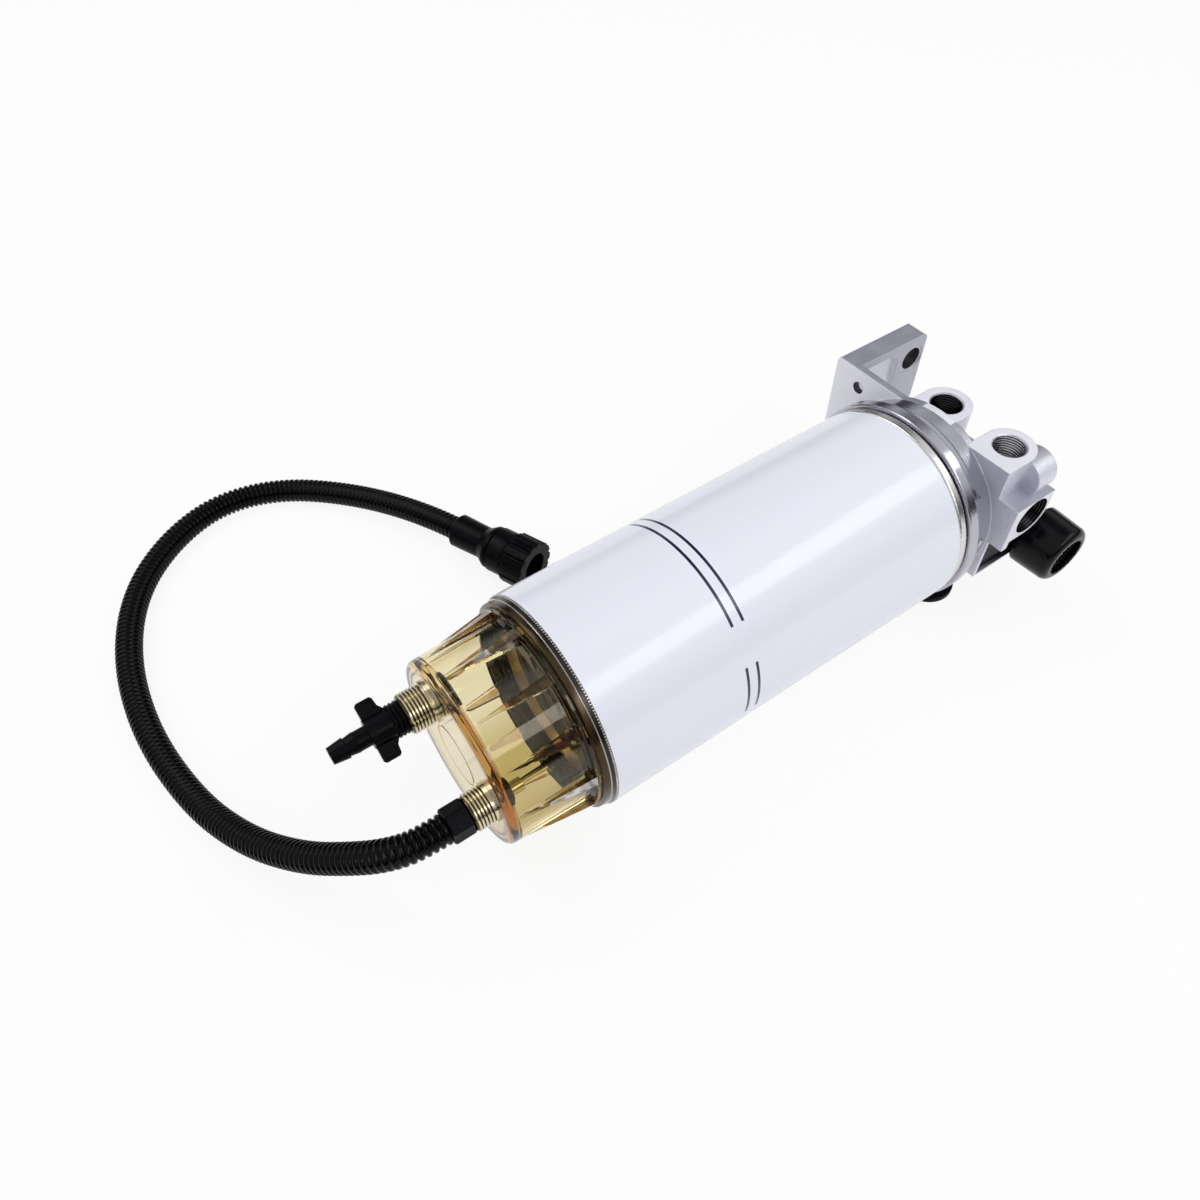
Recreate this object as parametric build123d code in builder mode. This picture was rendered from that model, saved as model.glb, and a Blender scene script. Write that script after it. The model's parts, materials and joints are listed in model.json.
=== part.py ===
from math import cos, pi, radians, sin, tan

from build123d import *
import os

os.makedirs("parts", exist_ok=True)

# Fuel water separator lying on a flat surface with its ports up. Millimetres throughout.
# Places are given from the can's axis: station runs along it from the can's open edge to the head,
# knobward runs sideways to the pump knob, and up is the height above the axis.

# Fits
running_gap = 0.08
seal_gap = 0.15

# Can
can_radius = 54.0
can_length = 209.0
can_wall = 0.8
thread_plate = 3.0
channel_wall = 1.4
thread_plate_drop = 6.0
plate_hub_wall = 4.5
plate_hub_top = 3.5
seam_height = 6.0
seam_inset = 0.4
seam_round = 1.2
seam_groove = 0.8
seam_groove_depth = 1.2
inlet_hole_count = 8
inlet_hole_radius = 4.0

# Gasket between can and head
gasket_inset = 1.8
gasket_width = 5.5
gasket_height = 4.0
gasket_proud = 0.4

# Filter element
pleat_count = 36
media_inset = 8.5
media_inner = 19.0
pleat_sheet = 1.6
fold_width = 5.0
element_bottom = 14.0
cap_sheet = 1.2
cap_rim = 5.0
element_clearance = 7.0
tube_wall = 1.2
tube_slot_rows = 6
tube_slot_columns = 6
tube_slot_width = 6.0
grommet_wall = 3.2
grommet_lip = 1.6

# Base ring that the bowl screws into
ring_face = 6.0
crimp_height = 2.7
crimp_inset = 1.0
serration_inset = 1.6
serration_count = 72
serration_width = 1.4
serration_depth = 0.9
ring_collar_inset = 5.6
ring_collar_wall = 2.2
ring_depth = 10.0
ring_tuck = 6.0
ring_sheet = 1.2

# Dished support under the element, seen through the bowl
support_inset = 12.0
support_rim = 2.0
support_slope = 1.0
dish_depth = 4.5
support_sheet = 1.2
support_hub_hole = 10.0
support_hole_radius = 4.5
support_hole_circle = 24.0
support_hole_count = 6

# Water bowl
bowl_height = 48.9
bowl_wall = 2.8
bowl_top_inset = 7.0
bowl_taper = 1.4
bowl_corner = 3.0
bowl_inner_corner = 4.0
bowl_flange_inset = 3.4
bowl_flange = 2.0
bowl_neck = 8.0
neck_play = 0.9
neck_slope = 3.0
rib_count = 12
rib_phase = -38.0
rib_root_width = 5.6
rib_tip_width = 0.8
rib_root_depth = 7.0
rib_tip_depth = 2.2
rib_root_inset = 0.3
rib_end = 39.0
bowl_mark_radius = 15.0
bowl_mark_width = 1.0
bowl_seal_rim = 1.2
bowl_seal_height = 2.0

# Drain: its axis, brass boss and valve
drain_up = 21.0
drain_inset = 28.2
drain_boss_radius = 9.7
drain_boss_height = 12.4
drain_nut_radius = 8.6
drain_nut_ring = 2.4
drain_nut_height = 6.5
valve_thread_radius = 7.8
valve_thread_length = 6.0
valve_body_radius = 6.85
valve_body_length = 10.5
wing_reach = 14.0
wing_setback = 2.2
wing_length = 8.0
wing_sheet = 3.4
wing_angle = 122.7
wing_root = 2.6
wing_recess = 0.7
wing_rim = 1.2
thread_pitch = 1.5
thread_depth = 0.6
tail_length = 17.5
tail_radius = 4.1
tail_lead = 2.6
barb_length = 4.6
barb_radius = 4.8
valve_bore = 2.3
valve_engagement = 8.0
drain_seal_height = 2.0

# Water sensor: its axis, brass boss, probe and nut
sensor_up = 4.5
sensor_inset = 15.6
sensor_boss_radius = 8.8
sensor_boss_height = 10.6
sensor_nut_across = 14.4
sensor_nut_length = 10.5
sensor_inner_across = 10.5
sensor_inner_height = 6.0
sensor_nut_ring = 1.4
probe_radius = 3.1
probe_length = 6.0
probe_rod_radius = 0.9
probe_rod_length = 13.0

# Conduit and connector
conduit_radius = 7.0
connector_knobward = -153.7
connector_station = 34.8
connector_heading = 21.9
boot_radius = 9.8
boot_length = 21.0
flare_radius = 13.3
flare_length = 18.4
collar_radius = 15.0
collar_length = 15.2
collar_wall = 2.6
collar_grip_count = 14
collar_groove_radius = 1.3
socket_radius = 8.6
socket_depth = 14.0
contact_count = 3
contact_radius = 1.0
contact_circle = 4.0
contact_length = 7.0

# Head casting
flange_step = 1.3
flange_height = 7.1
neck_step = 4.9
neck_height = 14.2
cavity_inset = 11.3
cavity_depth = 12.0
socket_lip = 4.0
hub_radius = 17.5
slab = 4.0
wall_top = 45.0
body_top = 28.3
body_bottom = -27.0
body_depth = 24.5
body_side = 51.6
body_side_top = 0.2
saddle_rise = 0.7
side_port_side = 59.8
bracket_outer = -68.3
bracket_sheet = 14.1
bracket_reach = 55.1
bracket_shoulder = 26.0
bracket_web = 24.0
bracket_web_height = 10.0
bracket_tie_height = 14.0
bracket_tie_drop = 6.0
ear_bottom = -1.0
lower_ear_top = -15.0
bracket_corner = 4.0
bracket_round = 3.0
ear_hole_radius = 6.5
ear_spot_radius = 8.2
ear_spot_depth = 0.6
ear_hole_up = 31.0
ear_hole_spacing = 71.0
ear_hole_inset = 8.8
pocket_depth = 2.5
pocket_rim = 4.6
pocket_bolt_ring = 6.0
pocket_corner = 5.0
pocket_low = 5.0
pocket_lead = 1.0
pocket_slope = 45.0
wall_hole_radius = 3.3
wall_hole_up = 34.2
wall_hole_knobward = -50.9

# Ports
port_radius = 8.2
port_mouth_chamfer = 0.8
port_depth = 20.0
port_setback = 16.3
tongue_radius = 13.3
outlet_knobward = -6.3
port_spacing = 40.6
side_port_radius = 10.4
side_port_depth = 17.0
side_port_up = 17.3
side_port_setback = 15.3
side_port_boss_radius = 12.4
side_port_root = 12.0
passage_radius = 5.0
passage_step = 2.0
inlet_passage_radius = 3.5
inlet_passage_aside = 6.0

# Boss and plug behind the inlet tongue
rear_boss_radius = 11.3
rear_boss_up = 33.0
rear_boss_knobward = 45.0
rear_boss_end = 29.7
rear_plug_radius = 6.5
rear_plug_stem = 5.5
rear_plug_socket = 4.0

# Hand pump
pump_up = -12.6
pump_setback = 36.8
pump_bore = 10.5
pump_barrel_radius = 13.8
pump_bottom = 6.0
barrel_end_wall = 5.0
pump_passage_radius = 3.0
pump_passage_drop = 1.4
pump_passage_setback = 3.5
plate_play = 0.1
recess_depth = 4.6
plate_sink = 2.0
lip = 1.6
housing_collar_radius = 14.0
housing_collar_height = 2.7
housing_sleeve_wall = 2.0
pump_stroke = 18.0
stroke_end_gap = 0.5
knob_radius = 17.0
knob_end_radius = 16.4
knob_height = 22.7
knob_round = 4.0
knob_recess_radius = 11.2
knob_recess_depth = 4.0
knob_rib_count = 24
knob_socket = 6.0
rod_radius = 4.0
piston_height = 7.0
piston_seal_section = 1.6
spring_wire = 1.1
spring_turns = 5
spring_length = 13.0

# Plug under the head, which the part rests on
underplug_radius = 15.5
underplug_rim = 3.2
underplug_height = 6.0
underplug_knobward = 26.0
underplug_setback = 0.3
underplug_shoulder = 9.6
underplug_stem = 6.0
underplug_stem_length = 8.0
underplug_seal_height = 1.2

# Centre nipple
nipple_radius = 12.7
nipple_bore = 9.0
nipple_end = 11.0

# Derived radii, which all follow the can's
seam_radius = can_radius - seam_inset
gasket_outer = can_radius - gasket_inset
gasket_inner = gasket_outer - gasket_width
media_outer = can_radius - media_inset
crimp_radius = can_radius - crimp_inset
serration_radius = can_radius - serration_inset
ring_collar = can_radius - ring_collar_inset
ring_bore = ring_collar - ring_collar_wall
support_radius = can_radius - support_inset
bowl_top_radius = can_radius - bowl_top_inset
bowl_foot_radius = bowl_top_radius - bowl_taper
bowl_flange_radius = can_radius - bowl_flange_inset
rib_root_radius = bowl_flange_radius - rib_root_inset
bowl_seal_outer = bowl_flange_radius - bowl_seal_rim
drain_knobward = drain_inset - bowl_foot_radius
sensor_knobward = bowl_foot_radius - sensor_inset
flange_radius = can_radius + flange_step
neck_radius = flange_radius - neck_step
cavity_outer = flange_radius - cavity_inset

# Derived stations and levels
seam_top = can_length + seam_height
head_face = seam_top + gasket_proud
neck_start = head_face + flange_height
wall_front = neck_start + neck_height
wall_back = wall_front + slab
bracket_end = wall_front + bracket_reach
inlet_knobward = outlet_knobward + port_spacing
port_station = wall_front + port_setback
side_port_station = wall_front + side_port_setback
pump_station = wall_front + pump_setback
bracket_inner = bracket_outer + bracket_sheet
drain_boss_end = -bowl_height - drain_boss_height
valve_body_start = drain_boss_end - valve_thread_length
tail_start = valve_body_start - valve_body_length
valve_tip = tail_start - tail_length
knob_seat = body_side + housing_collar_height
knob_end = knob_seat + knob_height
sensor_nut_start = -bowl_height - sensor_boss_height
conduit_start = sensor_nut_start - sensor_nut_length

# Origin under the middle of the object without its conduit, on the surface it lies on
origin_x = -(valve_tip + bracket_end) / 2
origin_y = (knob_end + bracket_outer) / 2
axis_height = flange_radius


def across(station, up=0.0, knobward=0.0):
    """Plane square to the can's axis: local x is up, local y knobward, and the normal points to the head."""
    origin = (origin_x + station, origin_y - knobward, axis_height + up)
    return Plane(origin=origin, x_dir=(0, 0, 1), z_dir=(1, 0, 0))


def beside(knobward, station=0.0, up=0.0):
    """Upright plane along the can's axis: local x is station, local y up, and the normal points knobward."""
    origin = (origin_x + station, origin_y - knobward, axis_height + up)
    return Plane(origin=origin, x_dir=(1, 0, 0), z_dir=(0, -1, 0))


def level(up, station=0.0, knobward=0.0):
    """Level plane: local x is station, local y knobward, and the normal points down."""
    origin = (origin_x + station, origin_y - knobward, axis_height + up)
    return Plane(origin=origin, x_dir=(1, 0, 0), z_dir=(0, 0, -1))


def lengthwise(up=0.0, knobward=0.0):
    """Axis along the can through the given place."""
    return Axis((origin_x, origin_y - knobward, axis_height + up), (1, 0, 0))


def sideways(station, up):
    """Axis square to the can's, level, through the given place."""
    return Axis((origin_x + station, origin_y, axis_height + up), (0, -1, 0))


def pump_profile_plane():
    """Plane through the pump's axis: local x is knobward, local y the distance above the pump's axis."""
    origin = (origin_x + pump_station, origin_y, axis_height + pump_up)
    return Plane(origin=origin, x_dir=(0, -1, 0), z_dir=(-1, 0, 0))


def save(piece, name):
    piece.part.label = name
    export_step(piece.part, f"parts/{name}.step")


# Can shell: drawn steel tube
with BuildPart() as can_shell:
    with BuildSketch(across(0.0)):
        Circle(can_radius)
        Circle(can_radius - can_wall, mode=Mode.SUBTRACT)
    extrude(amount=can_length)

save(can_shell, "can_shell")

# Thread plate closing the can at the head: hub with the thread, inlet holes, seam and gasket channel
plate_bottom = can_length - thread_plate_drop
plate_top = plate_bottom + thread_plate
gasket_floor = head_face - gasket_height
plate_radius = can_radius - can_wall
groove_top = can_length + seam_groove
channel_inner = gasket_inner - seal_gap
channel_outer = gasket_outer + seal_gap
hub_outer = nipple_radius + plate_hub_wall

with BuildPart() as can_top_plate:
    with BuildSketch(beside(0.0)):
        with BuildLine():
            Polyline(
                (plate_bottom, nipple_radius + running_gap),
                (can_length + plate_hub_top, nipple_radius + running_gap),
                (can_length + plate_hub_top, hub_outer),
                (plate_top, hub_outer),
                (plate_top, channel_inner - channel_wall),
                (seam_top - 1.0, channel_inner - channel_wall),
                (seam_top - 1.0, channel_inner),
                (gasket_floor, channel_inner),
                (gasket_floor, channel_outer),
                (seam_top, channel_outer),
                (seam_top, seam_radius - seam_round),
            )
            seam_upper = TangentArc(
                (seam_top, seam_radius - seam_round),
                (seam_top - seam_round, seam_radius),
                tangent=(0, 1),
            )
            Line(seam_upper @ 1, (groove_top + seam_round, seam_radius))
            seam_lower = TangentArc(
                (groove_top + seam_round, seam_radius),
                (groove_top, seam_radius - seam_round),
                tangent=(-1, 0),
            )
            Polyline(
                seam_lower @ 1,
                (groove_top, seam_radius - seam_groove_depth - 0.2),
                (can_length - 0.4, seam_radius - seam_groove_depth - 0.2),
                (can_length - 0.4, plate_radius),
                (plate_bottom, plate_radius),
                (plate_bottom, nipple_radius + running_gap),
            )
        make_face()
    revolve(axis=lengthwise())
    with Locations(across(plate_bottom)):
        with PolarLocations((hub_outer + channel_inner) / 2, inlet_hole_count):
            Hole(inlet_hole_radius)

save(can_top_plate, "can_top_plate")

# Square section gasket
with BuildPart() as can_gasket:
    with BuildSketch(across(gasket_floor)):
        Circle(gasket_outer)
        Circle(gasket_inner, mode=Mode.SUBTRACT)
    extrude(amount=gasket_height)

save(can_gasket, "can_gasket")

# Filter element: star pleated paper round a slotted tube, between two pressed caps
element_top = plate_bottom - element_clearance
lower_cap_face = element_bottom - cap_sheet
media_length = element_top - cap_sheet - element_bottom


def pleat_points(outer, inner):
    """Corners of the star of folds, outer and inner by turns."""
    step = 360 / pleat_count
    corners = []
    for fold in range(pleat_count):
        for radius, part in ((outer, 0.0), (inner, 0.5)):
            angle = radians(step * (fold + part))
            corners.append((radius * cos(angle), radius * sin(angle)))
    return corners


fold_depth = fold_width * pleat_sheet
fold_inner = media_inner + pleat_sheet + fold_width
with BuildPart() as filter_media:
    with BuildSketch(across(element_bottom)):
        Polygon(*pleat_points(media_outer, fold_inner), align=None)
        inside = pleat_points(media_outer - fold_depth, media_inner + pleat_sheet)
        Polygon(*inside, align=None, mode=Mode.SUBTRACT)
    extrude(amount=media_length)

save(filter_media, "filter_media")

slot_pitch = media_length / tube_slot_rows
with BuildPart() as centre_tube:
    with BuildSketch(across(element_bottom)):
        Circle(media_inner)
        Circle(media_inner - tube_wall, mode=Mode.SUBTRACT)
    extrude(amount=media_length)
    for row in range(tube_slot_rows):
        with Locations(across(element_bottom + slot_pitch * (row + 0.5))):
            with PolarLocations(media_inner, tube_slot_columns):
                Box(4 * tube_wall, tube_slot_width, slot_pitch * 0.55, mode=Mode.SUBTRACT)

save(centre_tube, "centre_tube")

cap_radius = media_outer + 0.5
with BuildPart() as lower_end_cap:
    with BuildSketch(across(lower_cap_face)):
        Circle(cap_radius + cap_sheet)
    extrude(amount=cap_sheet)
    with BuildSketch(across(element_bottom)):
        Circle(cap_radius + cap_sheet)
        Circle(cap_radius, mode=Mode.SUBTRACT)
    extrude(amount=cap_rim)

save(lower_end_cap, "lower_end_cap")

grommet_outer = nipple_radius + grommet_wall
with BuildPart() as upper_end_cap:
    with BuildSketch(across(element_top - cap_sheet)):
        Circle(cap_radius + cap_sheet)
        Circle(grommet_outer, mode=Mode.SUBTRACT)
    extrude(amount=cap_sheet)
    with BuildSketch(across(element_top - cap_sheet - cap_rim)):
        Circle(cap_radius + cap_sheet)
        Circle(cap_radius, mode=Mode.SUBTRACT)
    extrude(amount=cap_rim)

save(upper_end_cap, "upper_end_cap")

# Rubber grommet, grooved to hold the upper cap's edge, that slides on the nipple
with BuildPart() as element_grommet:
    with BuildSketch(beside(0.0)):
        with BuildLine():
            Polyline(
                (element_top - cap_sheet - 2.5, nipple_radius + running_gap),
                (element_top + 2.0, nipple_radius + running_gap),
                (element_top + 2.0, grommet_outer + grommet_lip),
                (element_top, grommet_outer + grommet_lip),
                (element_top, grommet_outer),
                (element_top - cap_sheet, grommet_outer),
                (element_top - cap_sheet, media_inner - tube_wall - 0.2),
                (element_top - cap_sheet - 2.5, media_inner - tube_wall - 0.6),
                close=True,
            )
        make_face()
    revolve(axis=lengthwise())

save(element_grommet, "element_grommet")

# Base ring: steel ring crimped to the can's edge, serrated outside, with the bowl's thread in its collar
with BuildPart() as can_base_ring:
    with BuildSketch(beside(0.0)):
        with BuildLine():
            Polyline(
                (-ring_face, ring_bore),
                (-ring_face, serration_radius - 0.5),
                (-ring_face + 0.5, serration_radius),
                (-crimp_height, serration_radius),
                (-crimp_height, crimp_radius),
                (0.0, crimp_radius + 0.6),
                (0.0, plate_radius),
                (ring_tuck, plate_radius),
                (ring_tuck, plate_radius - ring_sheet),
                (ring_sheet, plate_radius - ring_sheet),
                (ring_sheet, ring_collar),
                (ring_depth, ring_collar),
                (ring_depth, ring_bore),
                close=True,
            )
        make_face()
    revolve(axis=lengthwise())
    with Locations(across(-(ring_face + crimp_height) / 2)):
        with PolarLocations(serration_radius, serration_count):
            Box(serration_depth, serration_width, ring_face - crimp_height, mode=Mode.SUBTRACT)

save(can_base_ring, "can_base_ring")

# Dished support: carries the element and closes the can, its dish shows through the clear bowl
support_top = lower_cap_face
support_inner = support_radius - support_rim
with BuildPart() as element_support:
    with BuildSketch(beside(0.0)):
        with BuildLine():
            Polyline(
                (support_top, ring_collar + support_sheet),
                (ring_depth, ring_collar + support_sheet),
                (ring_depth, support_radius),
                (0.6, support_radius),
                (0.0, support_radius - 0.6),
                (0.0, support_inner),
                (dish_depth, support_inner - support_slope),
                (dish_depth, 0.0),
                (dish_depth + support_sheet, 0.0),
                (dish_depth + support_sheet, support_inner - support_slope),
                (ring_depth, support_inner),
                (support_top, support_inner),
                close=True,
            )
        make_face()
    revolve(axis=lengthwise())
    with Locations(across(0.0)):
        Hole(support_hub_hole)
        with PolarLocations(support_hole_circle, support_hole_count):
            Hole(support_hole_radius)

save(element_support, "element_support")

# Bowl seal: square ring between the base ring and the bowl's flange
neck_outer = ring_bore - running_gap
flange_top = ring_face + seal_gap
flange_bottom = flange_top + bowl_flange
seal_inner = neck_outer + seal_gap
with BuildPart() as bowl_seal:
    with BuildSketch(across(-ring_face - bowl_seal_height)):
        Circle(bowl_seal_outer)
        Circle(seal_inner, mode=Mode.SUBTRACT)
    extrude(amount=bowl_seal_height)

save(bowl_seal, "bowl_seal")


def rib_wedge():
    """One moulded grip rib, broad and proud under the flange and running out to a point down the wall."""
    with BuildPart() as wedge:
        with BuildSketch(across(-flange_bottom)):
            with Locations((rib_root_radius - rib_root_depth / 2, 0)):
                Rectangle(rib_root_depth, rib_root_width)
        with BuildSketch(across(-rib_end)):
            with Locations((bowl_foot_radius + 0.5 - rib_tip_depth / 2, 0)):
                Rectangle(rib_tip_depth, rib_tip_width)
        loft(ruled=True)
    return wedge.part


# Water bowl: clear moulding with neck, flange, tapered wall, ribs and a flat floor with two holes
neck_bore = support_radius + neck_play
drain_stem = drain_nut_radius - drain_nut_ring
sensor_stem = sensor_inner_across / 2 - sensor_nut_ring
inner_top = bowl_top_radius - bowl_wall
inner_foot = bowl_foot_radius - bowl_wall
floor_inside = bowl_height - bowl_wall
inside_wall_end = (-floor_inside + bowl_inner_corner, inner_foot)
inside_floor_end = (-floor_inside, inner_foot - bowl_inner_corner)
wedge = rib_wedge()
with BuildPart() as bowl:
    with BuildSketch(beside(0.0)):
        with BuildLine():
            l1 = Polyline(
                (-bowl_height, 0.0),
                (-bowl_height, bowl_foot_radius - bowl_corner),
            )
            l2 = TangentArc(l1 @ 1, (-bowl_height + bowl_corner, bowl_foot_radius), tangent=(0, 1))
            Polyline(
                l2 @ 1,
                (-flange_bottom - 1.5, bowl_top_radius),
                (-flange_bottom, bowl_top_radius + 1.5),
                (-flange_bottom, bowl_flange_radius - 0.5),
                (-flange_bottom + 0.5, bowl_flange_radius),
                (-flange_top - 0.3, bowl_flange_radius),
                (-flange_top, bowl_flange_radius - 0.3),
                (-flange_top, bowl_seal_outer + seal_gap),
                (-ring_face - bowl_seal_height, bowl_seal_outer + seal_gap),
                (-ring_face - bowl_seal_height, neck_outer),
                (bowl_neck - 1.0, neck_outer),
                (bowl_neck, neck_outer - 1.0),
                (bowl_neck, neck_bore),
                (-flange_bottom, neck_bore),
                (-flange_bottom - neck_slope, inner_top),
                inside_wall_end,
            )
            l4 = TangentArc(inside_wall_end, inside_floor_end, tangent=(-1, 0))
            Polyline(l4 @ 1, (-floor_inside, 0.0), (-bowl_height, 0.0))
        make_face()
    revolve(axis=lengthwise())
    for turn in range(rib_count):
        add(wedge.rotate(lengthwise(), rib_phase + 360 / rib_count * turn))
    with BuildSketch(beside(0.0)):
        with BuildLine():
            l5 = TangentArc(inside_wall_end, inside_floor_end, tangent=(-1, 0))
            Polyline(
                l5 @ 1,
                (-floor_inside, 0.0),
                (bowl_neck, 0.0),
                (bowl_neck, neck_bore),
                (-flange_bottom, neck_bore),
                (-flange_bottom - neck_slope, inner_top),
                inside_wall_end,
            )
        make_face()
    revolve(axis=lengthwise(), mode=Mode.SUBTRACT)
    with BuildSketch(across(-bowl_height)):
        Circle(bowl_mark_radius + bowl_mark_width / 2)
        Circle(bowl_mark_radius - bowl_mark_width / 2, mode=Mode.SUBTRACT)
    extrude(amount=bowl_mark_width / 2, mode=Mode.SUBTRACT)
    with Locations(across(-bowl_height, drain_up, drain_knobward)):
        Hole(drain_stem)
    with Locations(across(-bowl_height, sensor_up, sensor_knobward)):
        Hole(sensor_stem)

save(bowl, "bowl")



def thread_rings(start, end, radius):
    """Corners of a thread drawn as rings, from start down to end."""
    count = int((start - end) / thread_pitch)
    step = (start - end) / count
    corners = []
    for ring in range(count):
        crest = start - step * ring
        corners.append((crest, radius - thread_depth))
        corners.append((crest - step * 0.35, radius))
        corners.append((crest - step * 0.65, radius))
    corners.append((end, radius - thread_depth))
    return corners


# Drain boss: brass, its threaded barrel outside the bowl and its stem through the floor
valve_seat = drain_boss_end + valve_engagement + drain_seal_height
valve_bore_radius = valve_thread_radius + running_gap
with BuildPart() as drain_boss:
    with BuildSketch(beside(drain_knobward, up=drain_up)):
        with BuildLine():
            Polyline(
                (-bowl_height, drain_stem),
                (-bowl_height, drain_boss_radius + 0.4),
                (-bowl_height - 1.6, drain_boss_radius + 0.4),
                (-bowl_height - 1.6, drain_boss_radius - 0.6),
                *thread_rings(-bowl_height - 2.4, drain_boss_end + 0.6, drain_boss_radius),
                (drain_boss_end, drain_boss_radius - 1.0),
                (drain_boss_end, valve_bore_radius),
                (valve_seat, valve_bore_radius),
                (valve_seat, valve_bore),
                (-floor_inside + drain_nut_height, valve_bore),
                (-floor_inside + drain_nut_height, drain_stem),
                close=True,
            )
        make_face()
    revolve(axis=lengthwise(drain_up, drain_knobward))

save(drain_boss, "drain_boss")

# Black ring nut inside the bowl that clamps the drain boss
with BuildPart() as drain_inner_nut:
    with BuildSketch(across(-floor_inside, drain_up, drain_knobward)):
        Circle(drain_nut_radius)
        Circle(drain_stem, mode=Mode.SUBTRACT)
    extrude(amount=drain_nut_height)
    chamfer(drain_inner_nut.faces().sort_by(Axis.X)[-1].edges().sort_by(SortBy.LENGTH)[-1], 0.8)

save(drain_inner_nut, "drain_inner_nut")

# Flat seal on the end of the drain valve
with BuildPart() as drain_seal:
    with BuildSketch(across(valve_seat - drain_seal_height, drain_up, drain_knobward)):
        Circle(valve_thread_radius - seal_gap)
        Circle(valve_bore + 1.5, mode=Mode.SUBTRACT)
    extrude(amount=drain_seal_height)

save(drain_seal, "drain_seal")

# Drain valve: black moulding with threaded stem, two wings and a hose tail with two barbs
neck_bare = tail_length - 2 * barb_length - tail_lead
wing_end = valve_body_start - wing_setback
wing_start = wing_end - wing_length


def wing_plane(turn, offset=0.0):
    """Plane through the drain's axis: local x is station, local y the distance out at the given turn."""
    lift = radians(turn)
    normal = Vector(0, -cos(lift), -sin(lift))
    origin = Vector(origin_x, origin_y - drain_knobward, axis_height + drain_up) + normal * offset
    return Plane(origin=origin, x_dir=(1, 0, 0), z_dir=normal)


with BuildPart() as drain_valve:
    with BuildSketch(beside(drain_knobward, up=drain_up)):
        with BuildLine():
            Polyline(
                (drain_boss_end + valve_engagement, valve_bore),
                (drain_boss_end + valve_engagement, valve_thread_radius - 0.6),
                (drain_boss_end + valve_engagement - 0.6, valve_thread_radius),
                (drain_boss_end, valve_thread_radius),
                *thread_rings(drain_boss_end - 0.3, valve_body_start, valve_thread_radius),
                (valve_body_start, valve_body_radius),
                (tail_start, valve_body_radius),
                (tail_start, tail_radius + 0.5),
                (tail_start - neck_bare, tail_radius + 0.5),
                (tail_start - neck_bare, barb_radius),
                (tail_start - neck_bare - barb_length, tail_radius),
                (tail_start - neck_bare - barb_length, barb_radius),
                (valve_tip, tail_radius - 0.2),
                (valve_tip, valve_bore),
                close=True,
            )
        make_face()
    revolve(axis=lengthwise(drain_up, drain_knobward))
    for turn in (wing_angle, wing_angle + 180.0):
        with BuildSketch(wing_plane(turn)):
            with BuildLine():
                Polyline(
                    (wing_start, valve_bore + 1.5),
                    (wing_start, wing_reach - 1.0),
                    (wing_start + 1.0, wing_reach),
                    (wing_end - 1.0, wing_reach),
                    (wing_end, wing_reach - 1.0),
                    (wing_end + 0.4, valve_body_radius + wing_root),
                    (wing_end + wing_root, valve_body_radius - 0.4),
                    (wing_end + wing_root, valve_bore + 1.5),
                    close=True,
                )
            make_face()
        extrude(amount=wing_sheet / 2, both=True)
        recess_height = wing_reach - valve_body_radius - 2 * wing_rim
        for side in (-1, 1):
            with BuildSketch(wing_plane(turn, side * wing_sheet / 2)):
                with Locations(((wing_start + wing_end) / 2, wing_reach - wing_rim - recess_height / 2)):
                    RectangleRounded(wing_length - 2 * wing_rim, recess_height, 1.0)
            extrude(amount=-side * wing_recess, mode=Mode.SUBTRACT)

save(drain_valve, "drain_valve")

# Sensor boss: brass, stem through the floor
with BuildPart() as sensor_boss:
    with BuildSketch(beside(sensor_knobward, up=sensor_up)):
        with BuildLine():
            Polyline(
                (-bowl_height, 0.0),
                (-bowl_height, sensor_boss_radius + 0.4),
                (-bowl_height - 2.0, sensor_boss_radius + 0.4),
                *thread_rings(-bowl_height - 2.2, sensor_nut_start + 0.6, sensor_boss_radius),
                (sensor_nut_start, sensor_boss_radius - 0.8),
                (sensor_nut_start, 0.0),
                close=True,
            )
        make_face()
    revolve(axis=lengthwise(sensor_up, sensor_knobward))
    with BuildSketch(across(-bowl_height, sensor_up, sensor_knobward)):
        Circle(sensor_stem)
    extrude(amount=bowl_wall + sensor_inner_height)

save(sensor_boss, "sensor_boss")

# Black nut inside the bowl, round at its end
nut_top = -floor_inside + sensor_inner_height
with BuildPart() as sensor_inner_nut:
    with BuildSketch(across(-floor_inside, sensor_up, sensor_knobward)):
        RegularPolygon(sensor_inner_across / 2, 6, major_radius=False)
        Circle(sensor_stem, mode=Mode.SUBTRACT)
    extrude(amount=sensor_inner_height)
    with BuildSketch(beside(sensor_knobward, up=sensor_up)):
        with BuildLine():
            Polyline(
                (nut_top - 2.0, sensor_inner_across),
                (nut_top - 2.0, sensor_inner_across / 2 + 0.6),
                (nut_top, sensor_inner_across / 2 - 1.2),
                (nut_top, sensor_inner_across),
                close=True,
            )
        make_face()
    revolve(axis=lengthwise(sensor_up, sensor_knobward), mode=Mode.SUBTRACT)

save(sensor_inner_nut, "sensor_inner_nut")

# Probe: brass pin with the thin electrode that reaches up to the water line
probe_start = -floor_inside + sensor_inner_height
with BuildPart() as sensor_probe:
    with BuildSketch(across(probe_start, sensor_up, sensor_knobward)):
        Circle(probe_radius)
    extrude(amount=probe_length)
    with BuildSketch(across(probe_start + probe_length, sensor_up, sensor_knobward)):
        Circle(probe_rod_radius)
    extrude(amount=probe_rod_length)

save(sensor_probe, "sensor_probe")

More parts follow.
